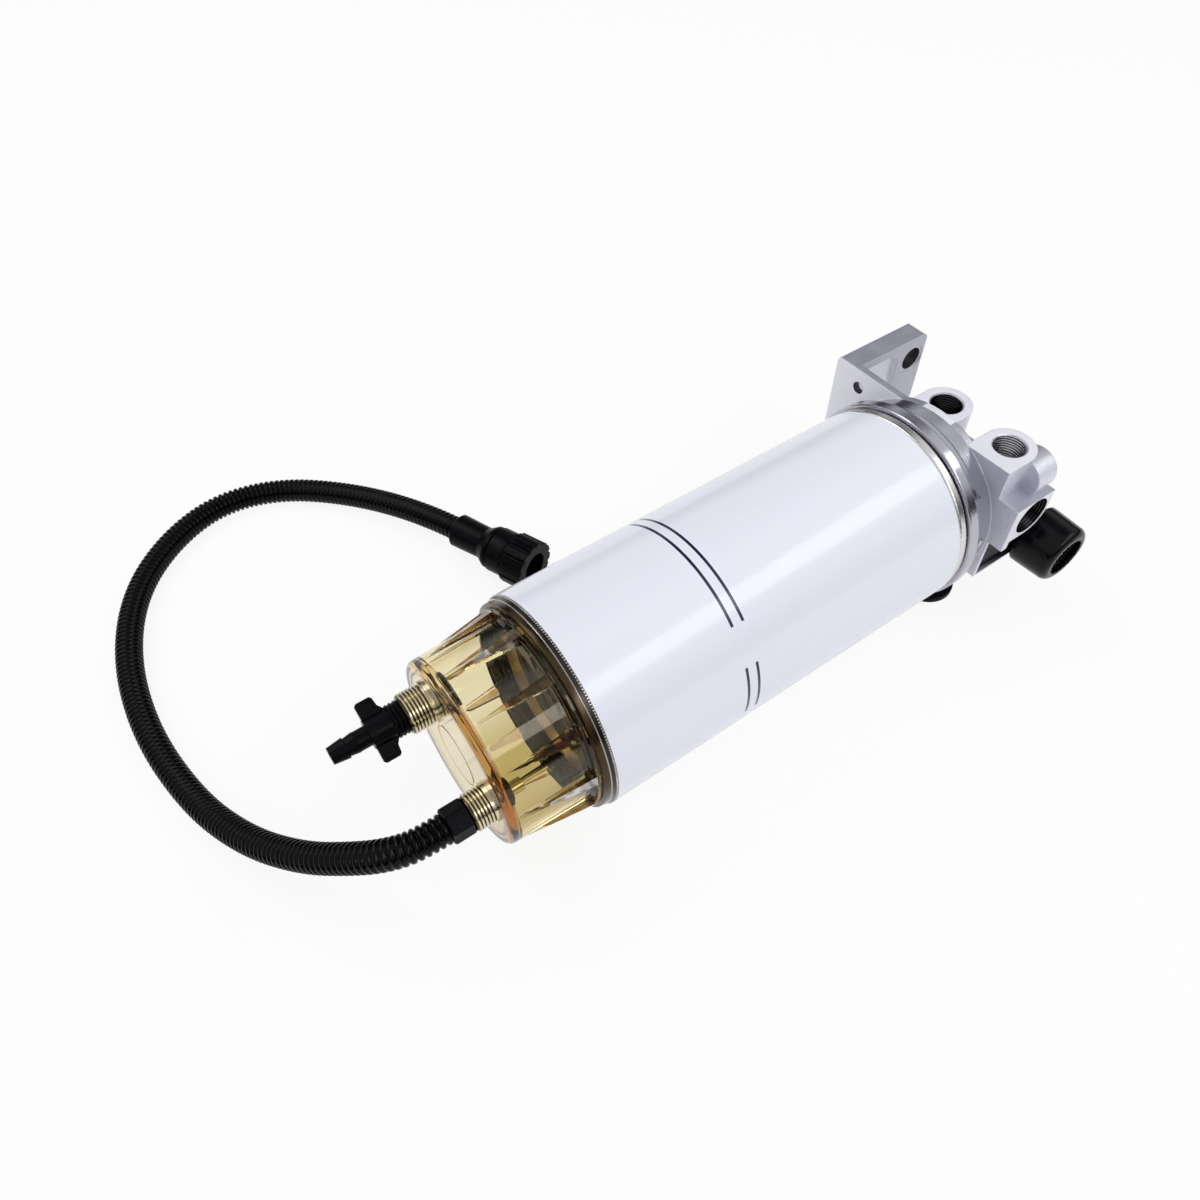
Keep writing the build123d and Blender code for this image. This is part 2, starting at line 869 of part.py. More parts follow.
# Hexagon nut that grips the conduit
with BuildPart() as sensor_nut:
    with BuildSketch(across(conduit_start, sensor_up, sensor_knobward)):
        RegularPolygon(sensor_nut_across / 2, 6, major_radius=False)
    extrude(amount=sensor_nut_length)
    fillet(sensor_nut.edges().filter_by(Axis.X), 1.0)
    chamfer(sensor_nut.faces().filter_by(Axis.X).edges(), 0.8)

save(sensor_nut, "sensor_nut")


# Conduit route, as height, knobward and station, from the nut down to the surface and round to the connector
heading = radians(connector_heading)
ahead = (0.0, cos(heading), sin(heading))
lead = 27.0
sensor_height = axis_height + sensor_up
lying = conduit_radius
route = [
    (sensor_height, sensor_knobward, conduit_start),
    (sensor_height, sensor_knobward, conduit_start - 12.0),
    (57.5, 26.0, -93.5),
    (51.0, 16.5, -105.0),
    (36.0, -5.5, -124.0),
    (19.0, -38.5, -142.0),
    (lying, -80.0, -155.5),
    (lying, -131.0, -161.5),
    (lying, -183.0, -155.0),
    (lying, -226.0, -136.0),
    (lying, -254.0, -106.0),
    (lying, -267.1, -71.0),
    (lying, -257.0, -34.0),
    (lying + 1.0, -225.0, 0.0),
    (collar_radius, connector_knobward - lead * ahead[1], connector_station - lead * ahead[2]),
    (collar_radius, connector_knobward, connector_station),
]


def place(height, knobward, station):
    """Point at a height over the surface, knobward and along the can from its open edge."""
    return Vector(origin_x + station, origin_y - knobward, height)


def corner_radii(points):
    """Radius for each inner point: 0.45 of the shorter run over the tangent of half the turn."""
    radii = []
    for before, corner, after in zip(points, points[1:], points[2:]):
        run_in = corner - before
        run_out = after - corner
        half_turn = radians(run_in.get_angle(run_out)) / 2
        radii.append(0.45 * min(run_in.length, run_out.length) / tan(half_turn))
    return radii


corners = [place(*point) for point in route]
bends = corner_radii(corners)
with BuildPart() as conduit:
    with BuildLine() as conduit_path:
        FilletPolyline(*corners, radius=bends)
    with BuildSketch(Plane(origin=corners[0], z_dir=corners[1] - corners[0])):
        Circle(conduit_radius)
    sweep()

save(conduit, "conduit")
conduit_length = conduit_path.wires()[0].length
print("conduit length", round(conduit_length, 1))
print("conduit radii", [round(bend) for bend in bends])
section = pi * conduit_radius**2
print("volume over section and length", round(conduit.part.volume / (section * conduit_length), 4))

# Connector on the conduit's end, lying on its coupling collar
connector_origin = place(collar_radius, connector_knobward, connector_station)
connector_axis = Vector(sin(heading), -cos(heading), 0)
flare_start = boot_length
sleeve_start = boot_length + flare_length
connector_end = sleeve_start + collar_length
sleeve_radius = collar_radius - collar_wall - running_gap


def connector_plane(distance):
    """Plane square to the connector's axis at a distance from its cable end."""
    return Plane(origin=connector_origin + connector_axis * distance, x_dir=(0, 0, 1), z_dir=connector_axis)


def connector_profile():
    """Plane through the connector's axis: local x along it, local y up."""
    return Plane(origin=connector_origin, x_dir=connector_axis, z_dir=connector_axis.cross(Vector(0, 0, 1)))


with BuildPart() as connector_body:
    with BuildSketch(connector_profile()):
        with BuildLine():
            Polyline(
                (0.0, 0.0),
                (0.0, boot_radius - 0.8),
                (0.8, boot_radius),
                (flare_start - 1.0, boot_radius - 0.4),
                (flare_start + 4.5, flare_radius - 0.6),
                (flare_start + 6.5, flare_radius - 0.6),
                (flare_start + 6.5, flare_radius - 1.6),
                (flare_start + 7.8, flare_radius - 1.6),
                (flare_start + 7.8, flare_radius),
                (sleeve_start - 1.6, flare_radius),
                (sleeve_start, flare_radius - 0.8),
                (sleeve_start, sleeve_radius - 0.4),
                (connector_end, sleeve_radius - 0.4),
                (connector_end, socket_radius),
                (connector_end - socket_depth, socket_radius),
                (connector_end - socket_depth, 0.0),
                close=True,
            )
        make_face()
    revolve(axis=Axis(connector_origin, connector_axis))

save(connector_body, "connector_body")

with BuildPart() as connector_contacts:
    with Locations(connector_plane(connector_end - socket_depth + contact_length / 2)):
        with PolarLocations(contact_circle, contact_count):
            Cylinder(contact_radius, contact_length)

save(connector_contacts, "connector_contacts")

# Coupling collar with grip flutes
with BuildPart() as connector_collar:
    with BuildSketch(connector_plane(sleeve_start)):
        Circle(collar_radius)
        Circle(sleeve_radius - 0.4 + running_gap, mode=Mode.SUBTRACT)
        with PolarLocations(collar_radius, collar_grip_count, start_angle=180 / collar_grip_count):
            Circle(collar_groove_radius, mode=Mode.SUBTRACT)
    extrude(amount=collar_length)
    cable_end = connector_collar.faces().sort_by(Axis(connector_origin, connector_axis))[0]
    chamfer(cable_end.outer_wire().edges(), 0.8)

save(connector_collar, "connector_collar")

# Head casting: flange, neck and inner cavity turned about the can's axis
hub_face = head_face + 1.5
cavity_roof = head_face + cavity_depth
nipple_seat = cavity_roof - socket_lip
side_port_bottom = side_port_up - side_port_boss_radius
plug_station = wall_front + underplug_setback
plug_seat = -axis_height + underplug_height
with BuildPart() as head_casting:
    with BuildSketch(beside(0.0)):
        with BuildLine():
            Polyline(
                (head_face, cavity_outer),
                (head_face, flange_radius - 0.6),
                (head_face + 0.6, flange_radius),
                (neck_start - 1.2, flange_radius),
                (neck_start, flange_radius - 1.2),
                (neck_start + 0.6, neck_radius + 2.4),
                (neck_start + 4.0, neck_radius + 2.0),
                (neck_start + 6.0, neck_radius),
                (wall_front, neck_radius - 0.4),
                (wall_back, neck_radius - 0.4),
                (wall_back, nipple_bore),
                (nipple_seat, nipple_bore),
                (nipple_seat, nipple_radius),
                (hub_face, nipple_radius),
                (hub_face, hub_radius),
                (cavity_roof, hub_radius),
                (cavity_roof, cavity_outer),
                close=True,
            )
        make_face()
    revolve(axis=lengthwise())
    # Front wall: one flat face from the bracket past the ports to the pump side
    with BuildSketch(across(wall_front)):
        with BuildLine():
            Polyline(
                (wall_top, bracket_outer),
                (wall_top, outlet_knobward + tongue_radius),
                (body_top + saddle_rise, outlet_knobward + tongue_radius),
                (body_top + saddle_rise, inlet_knobward - tongue_radius),
                (wall_top, inlet_knobward - tongue_radius),
                (wall_top, inlet_knobward + tongue_radius),
                (body_top, inlet_knobward + tongue_radius),
                (body_top, side_port_side),
                (body_side_top, side_port_side),
                (body_side_top, body_side),
                (body_bottom, body_side),
                (body_bottom, bracket_inner + bracket_web),
                (-axis_height + bracket_web_height, bracket_inner),
                (-axis_height, bracket_inner),
                (-axis_height, bracket_outer),
                close=True,
            )
        make_face()
    extrude(amount=slab)
    # Valve body behind the wall, as deep as the ports need
    with BuildSketch(across(wall_front)):
        with BuildLine():
            Polyline(
                (body_top, outlet_knobward - tongue_radius),
                (body_top, body_side),
                (body_bottom, body_side),
                (body_bottom, outlet_knobward - tongue_radius),
                close=True,
            )
        make_face()
    extrude(amount=body_depth)
    # Port tongues, square at the wall and round at the far end
    for tongue in (outlet_knobward, inlet_knobward):
        with BuildSketch(level(wall_top, port_station, tongue)):
            Circle(tongue_radius)
            with Locations((-port_setback / 2, 0)):
                Rectangle(port_setback, 2 * tongue_radius)
        extrude(amount=wall_top)
    # Side port: flat topped boss with a round lower corner
    with BuildSketch(beside(body_side - side_port_root)):
        with Locations((side_port_station, side_port_up)):
            Circle(side_port_boss_radius)
        with Locations(((wall_front + side_port_station) / 2, (body_top + side_port_bottom) / 2)):
            Rectangle(side_port_station - wall_front, body_top - side_port_bottom)
        with Locations((side_port_station + side_port_boss_radius / 2, (body_top + side_port_up) / 2)):
            Rectangle(side_port_boss_radius, body_top - side_port_up)
        with Locations((side_port_station, body_top + side_port_boss_radius)):
            Rectangle(3 * side_port_boss_radius, 2 * side_port_boss_radius, mode=Mode.SUBTRACT)
    extrude(amount=side_port_side - body_side + side_port_root)
    # Round boss behind the inlet tongue
    with BuildSketch(across(port_station, rear_boss_up, rear_boss_knobward)):
        Circle(rear_boss_radius)
    extrude(amount=rear_boss_end - port_setback)
    # Pump barrel and the block that carries it
    with BuildSketch(beside(pump_bottom - barrel_end_wall)):
        with Locations((pump_station, pump_up)):
            Circle(pump_barrel_radius)
        with Locations(((wall_front + pump_station) / 2, (body_bottom + pump_up + pump_barrel_radius) / 2)):
            Rectangle(pump_station - wall_front, pump_up + pump_barrel_radius - body_bottom)
    extrude(amount=body_side - pump_bottom + barrel_end_wall)
    # Boss for the plug under the head
    with BuildSketch(level(0.0, plug_station, underplug_knobward)):
        Circle(underplug_shoulder)
    extrude(amount=axis_height - underplug_height)
    # Bracket plate with two ears
    with BuildSketch(beside(bracket_outer)):
        with BuildLine():
            Polyline(
                (wall_front, -axis_height),
                (bracket_end, -axis_height),
                (bracket_end, lower_ear_top),
                (wall_front + bracket_shoulder, lower_ear_top),
                (wall_front + bracket_shoulder, ear_bottom),
                (bracket_end, ear_bottom),
                (bracket_end, wall_top),
                (wall_front, wall_top),
                close=True,
            )
        make_face()
    extrude(amount=bracket_sheet)
    fillet(head_casting.edges().filter_by(Axis.Y).group_by(Axis.X)[-1], bracket_corner)
    # Rounds along the bracket's top outer edge and down its end
    with BuildSketch(across(wall_front)):
        with Locations((wall_top - bracket_round / 2, bracket_outer + bracket_round / 2)):
            Rectangle(bracket_round, bracket_round)
        with Locations((wall_top - bracket_round, bracket_outer + bracket_round)):
            Circle(bracket_round, mode=Mode.SUBTRACT)
    extrude(amount=bracket_reach, mode=Mode.SUBTRACT)
    with BuildSketch(level(wall_top)):
        with Locations((bracket_end - bracket_round / 2, bracket_outer + bracket_round / 2)):
            Rectangle(bracket_round, bracket_round)
        with Locations((bracket_end - bracket_round, bracket_outer + bracket_round)):
            Circle(bracket_round, mode=Mode.SUBTRACT)
    extrude(amount=wall_top + axis_height, mode=Mode.SUBTRACT)
    # Rib that ties the bracket to the valve body behind the wall
    with BuildSketch(across(wall_back)):
        with Locations((-bracket_tie_drop, (bracket_inner + outlet_knobward) / 2)):
            Rectangle(bracket_tie_height, outlet_knobward - bracket_inner)
    extrude(amount=body_depth - slab - bracket_tie_drop)
    # Shallow pocket beside the upper bolt hole
    bolt_station = bracket_end - ear_hole_inset
    pocket_start = wall_back + pocket_lead
    pocket_roof = wall_top - pocket_rim
    pocket_top_end = bolt_station - ear_hole_radius - pocket_bolt_ring
    pocket_floor_end = bolt_station - ear_hole_radius
    with BuildSketch(beside(bracket_inner)) as pocket:
        with BuildLine():
            Polyline(
                (pocket_start, pocket_roof),
                (pocket_top_end, pocket_roof),
                (pocket_top_end, ear_hole_up - ear_hole_radius),
                (pocket_floor_end, pocket_low),
                (pocket_start, pocket_low),
                close=True,
            )
        make_face()
        fillet(pocket.vertices(), pocket_corner)
    extrude(amount=-pocket_depth, taper=pocket_slope, mode=Mode.SUBTRACT)
    # Bolt holes with a machined spot
    with Locations(beside(bracket_inner)):
        with Locations((bolt_station, ear_hole_up), (bolt_station, ear_hole_up - ear_hole_spacing)):
            Hole(ear_spot_radius, depth=ear_spot_depth)
        with Locations((bolt_station, ear_hole_up), (bolt_station, ear_hole_up - ear_hole_spacing)):
            Hole(ear_hole_radius, depth=bracket_sheet)
    with Locations(across(wall_back, wall_hole_up, wall_hole_knobward)):
        Hole(wall_hole_radius, depth=slab)
    # Ports from above
    for tongue in (outlet_knobward, inlet_knobward):
        with BuildSketch(level(wall_top, port_station, tongue)):
            Circle(port_radius + port_mouth_chamfer)
        extrude(amount=port_mouth_chamfer, taper=45, mode=Mode.SUBTRACT)
        with BuildSketch(level(wall_top, port_station, tongue)):
            Circle(port_radius)
        extrude(amount=port_depth, mode=Mode.SUBTRACT)
    # Outlet passage down to the axis and along it to the nipple
    with BuildSketch(level(wall_top - port_depth, port_station, outlet_knobward)):
        Circle(passage_radius)
    extrude(amount=wall_top - port_depth + passage_radius, mode=Mode.SUBTRACT)
    with BuildSketch(across(nipple_seat)):
        Circle(nipple_bore - passage_step)
    extrude(amount=port_station - nipple_seat, mode=Mode.SUBTRACT)
    # Inlet passage from its port forward into the cavity round the hub
    inlet_floor = wall_top - port_depth
    with BuildSketch(across(cavity_roof, inlet_floor + passage_step, inlet_knobward - inlet_passage_aside)):
        Circle(inlet_passage_radius)
    extrude(amount=port_station - cavity_roof, mode=Mode.SUBTRACT)
    # Pump passage from the cavity back to the bottom of the pump bore
    pump_passage = pump_bottom + spring_length - pump_passage_setback
    with BuildSketch(across(cavity_roof, pump_up - pump_passage_drop, pump_passage)):
        Circle(pump_passage_radius)
    extrude(amount=pump_station - cavity_roof, mode=Mode.SUBTRACT)
    # Side port bore
    with BuildSketch(beside(side_port_side, side_port_station, side_port_up)):
        Circle(side_port_radius)
    extrude(amount=-side_port_depth, mode=Mode.SUBTRACT)
    # Plug hole in the rear boss
    with BuildSketch(across(wall_front + rear_boss_end, rear_boss_up, rear_boss_knobward)):
        Circle(rear_plug_radius)
    extrude(amount=-rear_plug_stem, mode=Mode.SUBTRACT)
    # Pump bore and the recess for its housing
    with BuildSketch(beside(pump_bottom)):
        with Locations((pump_station, pump_up)):
            Circle(pump_bore)
    extrude(amount=body_side - pump_bottom, mode=Mode.SUBTRACT)
    with BuildSketch(beside(body_side)):
        with Locations((pump_station, pump_up)):
            Circle(pump_barrel_radius - lip)
        with Locations(((wall_front + lip + pump_station) / 2, body_bottom / 2 + plate_play)):
            Rectangle(pump_station - wall_front - lip, -body_bottom - lip)
    extrude(amount=-recess_depth, mode=Mode.SUBTRACT)
    # Socket for the underside plug
    with BuildSketch(level(plug_seat, plug_station, underplug_knobward)):
        Circle(underplug_stem)
    extrude(amount=-underplug_stem_length, mode=Mode.SUBTRACT)

save(head_casting, "head_casting")

# Plug flush in the rear boss, with a hexagon socket
rear_face = wall_front + rear_boss_end
with BuildPart() as rear_plug:
    with BuildSketch(across(rear_face - rear_plug_stem, rear_boss_up, rear_boss_knobward)):
        Circle(rear_plug_radius)
    extrude(amount=rear_plug_stem)
    with BuildSketch(across(rear_face, rear_boss_up, rear_boss_knobward)):
        RegularPolygon(rear_plug_socket, 6)
    extrude(amount=-rear_plug_socket, mode=Mode.SUBTRACT)

save(rear_plug, "rear_plug")

# Centre nipple, fixed in the hub, that the can screws onto
with BuildPart() as centre_nipple:
    with BuildSketch(across(element_top - nipple_end)):
        Circle(nipple_radius)
        Circle(nipple_bore, mode=Mode.SUBTRACT)
    extrude(amount=nipple_seat - element_top + nipple_end)

save(centre_nipple, "centre_nipple")

# Plug under the head: round cap, seal and stem
plug_shoulder = plug_seat - underplug_seal_height
with BuildPart() as underside_plug:
    with BuildSketch(level(-axis_height + underplug_rim, plug_station, underplug_knobward)):
        Circle(underplug_radius)
    extrude(amount=underplug_rim)
    fillet(underside_plug.faces().sort_by(Axis.Z)[-1].edges(), 0.8)
    with BuildSketch(level(plug_shoulder, plug_station, underplug_knobward)):
        Circle(underplug_shoulder)
    extrude(amount=plug_shoulder + axis_height - underplug_rim)
    with BuildSketch(level(plug_shoulder, plug_station, underplug_knobward)):
        Circle(underplug_stem)
    extrude(amount=-underplug_stem_length)

save(underside_plug, "underside_plug")

with BuildPart() as underside_seal:
    with BuildSketch(level(plug_seat, plug_station, underplug_knobward)):
        Circle(underplug_shoulder - 0.6)
        Circle(underplug_stem, mode=Mode.SUBTRACT)
    extrude(amount=underplug_seal_height)

save(underside_seal, "underside_seal")

# Pump housing: black plate sunk in its recess, round collar outside and guide sleeve in the bore
recess_floor = body_side - recess_depth
guide_radius = rod_radius + running_gap
piston_back = pump_bottom + spring_length
piston_face = piston_back + piston_height
sleeve_length = recess_floor - piston_face - pump_stroke - stroke_end_gap
with BuildPart() as pump_housing:
    with BuildSketch(beside(recess_floor)):
        with Locations((pump_station, pump_up)):
            Circle(pump_barrel_radius - lip - plate_play)
        with Locations(((wall_front + lip + pump_station) / 2, body_bottom / 2 + plate_play)):
            Rectangle(pump_station - wall_front - lip - 2 * plate_play, -body_bottom - lip - 2 * plate_play)
    extrude(amount=recess_depth - plate_sink)
    with BuildSketch(beside(recess_floor)):
        with Locations((pump_station, pump_up)):
            Circle(pump_barrel_radius - lip - plate_play)
    extrude(amount=recess_depth)
    with BuildSketch(beside(body_side)):
        with Locations((pump_station, pump_up)):
            Circle(housing_collar_radius)
    extrude(amount=housing_collar_height)
    with BuildSketch(beside(recess_floor)):
        with Locations((pump_station, pump_up)):
            Circle(pump_bore - running_gap)
    extrude(amount=-sleeve_length)
    with BuildSketch(beside(knob_seat)):
        with Locations((pump_station, pump_up)):
            Circle(guide_radius)
    extrude(amount=piston_face - knob_seat, mode=Mode.SUBTRACT)
    with BuildSketch(beside(recess_floor - sleeve_length)):
        with Locations((pump_station, pump_up)):
            Circle(pump_bore - housing_sleeve_wall)
    extrude(amount=sleeve_length, mode=Mode.SUBTRACT)

save(pump_housing, "pump_housing")

# Plunger: piston in the bore, rod through the housing and the knob outside
groove_start = piston_back + (piston_height - piston_seal_section) / 2
piston_radius = pump_bore - running_gap
with BuildPart() as pump_piston:
    with BuildSketch(pump_profile_plane()):
        with BuildLine():
            Polyline(
                (piston_back, 0.0),
                (piston_back, piston_radius),
                (groove_start, piston_radius),
                (groove_start, piston_radius - piston_seal_section),
                (groove_start + piston_seal_section, piston_radius - piston_seal_section),
                (groove_start + piston_seal_section, piston_radius),
                (piston_face, piston_radius),
                (piston_face, 0.0),
                close=True,
            )
        make_face()
    revolve(axis=sideways(pump_station, pump_up))

save(pump_piston, "pump_piston")

with BuildPart() as piston_seal:
    with BuildSketch(pump_profile_plane()):
        with Locations((groove_start + piston_seal_section / 2, piston_radius - piston_seal_section / 2)):
            Rectangle(piston_seal_section, piston_seal_section)
    revolve(axis=sideways(pump_station, pump_up))

save(piston_seal, "piston_seal")

with BuildPart() as pump_rod:
    with BuildSketch(beside(piston_face)):
        with Locations((pump_station, pump_up)):
            Circle(rod_radius)
    extrude(amount=knob_seat + knob_socket - piston_face)

save(pump_rod, "pump_rod")

# Knob: round cap with a recessed, finely ribbed end
with BuildPart() as pump_knob:
    with BuildSketch(pump_profile_plane()):
        with BuildLine():
            Polyline(
                (knob_seat, rod_radius),
                (knob_seat, knob_radius - 1.2),
                (knob_seat + 1.2, knob_radius),
                (knob_seat + 4.0, knob_radius),
                (knob_end - knob_round, knob_end_radius),
            )
            knob_arc = TangentArc(
                (knob_end - knob_round, knob_end_radius),
                (knob_end, knob_end_radius - knob_round),
                tangent=(1, 0),
            )
            Polyline(
                knob_arc @ 1,
                (knob_end, knob_recess_radius),
                (knob_end - knob_recess_depth, knob_recess_radius - 0.6),
                (knob_end - knob_recess_depth, 0.0),
                (knob_seat + knob_socket, 0.0),
                (knob_seat + knob_socket, rod_radius),
                (knob_seat, rod_radius),
            )
        make_face()
    revolve(axis=sideways(pump_station, pump_up))
    with Locations(beside(knob_end - knob_recess_depth / 2, pump_station, pump_up)):
        with PolarLocations(knob_recess_radius, knob_rib_count):
            Box(1.4, 1.0, knob_recess_depth)

save(pump_knob, "pump_knob")

# Return spring between the bore's bottom and the piston
spring_radius = pump_bore - 1.8 - spring_wire / 2
spring_pitch = (spring_length - spring_wire) / spring_turns
with BuildPart() as pump_spring:
    spring_start = Plane(
        origin=(origin_x + pump_station, origin_y - pump_bottom - spring_wire / 2, axis_height + pump_up),
        x_dir=(1, 0, 0),
        z_dir=(0, -1, 0),
    )
    coil = spring_start.location * Helix(spring_pitch, spring_length - spring_wire, spring_radius)
    with BuildSketch(Plane(origin=coil @ 0, z_dir=coil % 0)):
        RegularPolygon(spring_wire / 2, 6)
    sweep(path=coil)

save(pump_spring, "pump_spring")
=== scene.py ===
import json
from math import asin, atan2, cos, hypot, pi, radians, sin

import bmesh
import bpy
from mathutils import Matrix, Vector


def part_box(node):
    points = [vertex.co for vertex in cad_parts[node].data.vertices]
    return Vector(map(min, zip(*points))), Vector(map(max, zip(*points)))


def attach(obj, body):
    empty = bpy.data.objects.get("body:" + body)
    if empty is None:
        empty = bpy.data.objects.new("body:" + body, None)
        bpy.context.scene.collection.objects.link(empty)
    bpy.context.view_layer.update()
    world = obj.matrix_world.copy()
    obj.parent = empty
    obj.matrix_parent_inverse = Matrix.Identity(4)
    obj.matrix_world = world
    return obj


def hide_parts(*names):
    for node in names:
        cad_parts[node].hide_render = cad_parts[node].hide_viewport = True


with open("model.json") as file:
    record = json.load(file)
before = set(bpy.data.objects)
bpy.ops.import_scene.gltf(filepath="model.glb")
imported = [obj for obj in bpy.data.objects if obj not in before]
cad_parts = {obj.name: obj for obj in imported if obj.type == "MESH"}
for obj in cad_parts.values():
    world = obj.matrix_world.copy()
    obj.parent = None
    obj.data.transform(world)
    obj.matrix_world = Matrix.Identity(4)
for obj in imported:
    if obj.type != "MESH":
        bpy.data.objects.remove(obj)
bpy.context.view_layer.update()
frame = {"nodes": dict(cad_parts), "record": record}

# The can's axis in the shared frame, in metres, from the can's own shell and rounded to 0.01 mm. About it, a
# station is how far a place lies toward the head from the can's open end, knobward how far to the pump's
# side, up how far above.
shell_low, shell_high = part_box("can_shell")
ORIGIN_X = round(shell_low.x, 5)
ORIGIN_Y = round((shell_low.y + shell_high.y) / 2, 5)
AXIS_HEIGHT = round((shell_low.z + shell_high.z) / 2, 5)


def at(station, up, knobward):
    """A place given about the can's axis, in millimetres."""
    return Vector((ORIGIN_X + station / 1000, ORIGIN_Y - knobward / 1000, AXIS_HEIGHT + up / 1000))


def about_can(station, reach, turn):
    """A place on a circle about the can's axis, in millimetres, turned from up toward the pump's side."""
    return at(station, reach * cos(turn), reach * sin(turn))


def extent(node):
    """First station, last station and reach of a node round about the can's axis, in millimetres to 0.01."""
    low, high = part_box(node)
    sizes = (low.x - ORIGIN_X) * 1000, (high.x - ORIGIN_X) * 1000, (high.z - low.z) * 500
    return [round(size, 2) for size in sizes]


# Sizes that both a material and a skin need, in millimetres: a pair is a station and a reach from the axis
FOOT_FACE, NECK_END, FLANGE = extent("bowl")
FOOT_CORNER = 3.0
WALL_FOOT = (FOOT_FACE + FOOT_CORNER, 45.6)
WALL_TOP = (-9.65, 47.0)
KNURL_START = -0.95
KNURL_FOOT = 53.2
KNURL_HEIGHT = 0.3
CREST_START = KNURL_START - 0.05
CREST_REACH = KNURL_FOOT + 0.14

# Camera at the photo's viewing angle
CAMERA_PLACE = Vector((-0.21335, -0.20685, 0.4182))
CAMERA_RIGHT = Vector((0.8164, -0.5773, -0.0137))
CAMERA_UP = Vector((0.4537, 0.6265, 0.6338))
LENS = 28.506
SENSOR = 36.0

camera_data = bpy.data.cameras.new("camera")
camera_data.lens = LENS
camera_data.sensor_width = SENSOR
camera_data.clip_start = 0.02
camera_data.clip_end = 30.0
camera = bpy.data.objects.new("camera", camera_data)
bpy.context.scene.collection.objects.link(camera)
axes = Matrix((CAMERA_RIGHT, CAMERA_UP, CAMERA_RIGHT.cross(CAMERA_UP))).transposed()
camera.matrix_world = Matrix.Translation(CAMERA_PLACE) @ axes.to_4x4()
bpy.context.scene.camera = camera
bpy.context.scene.view_settings.view_transform = "Standard"


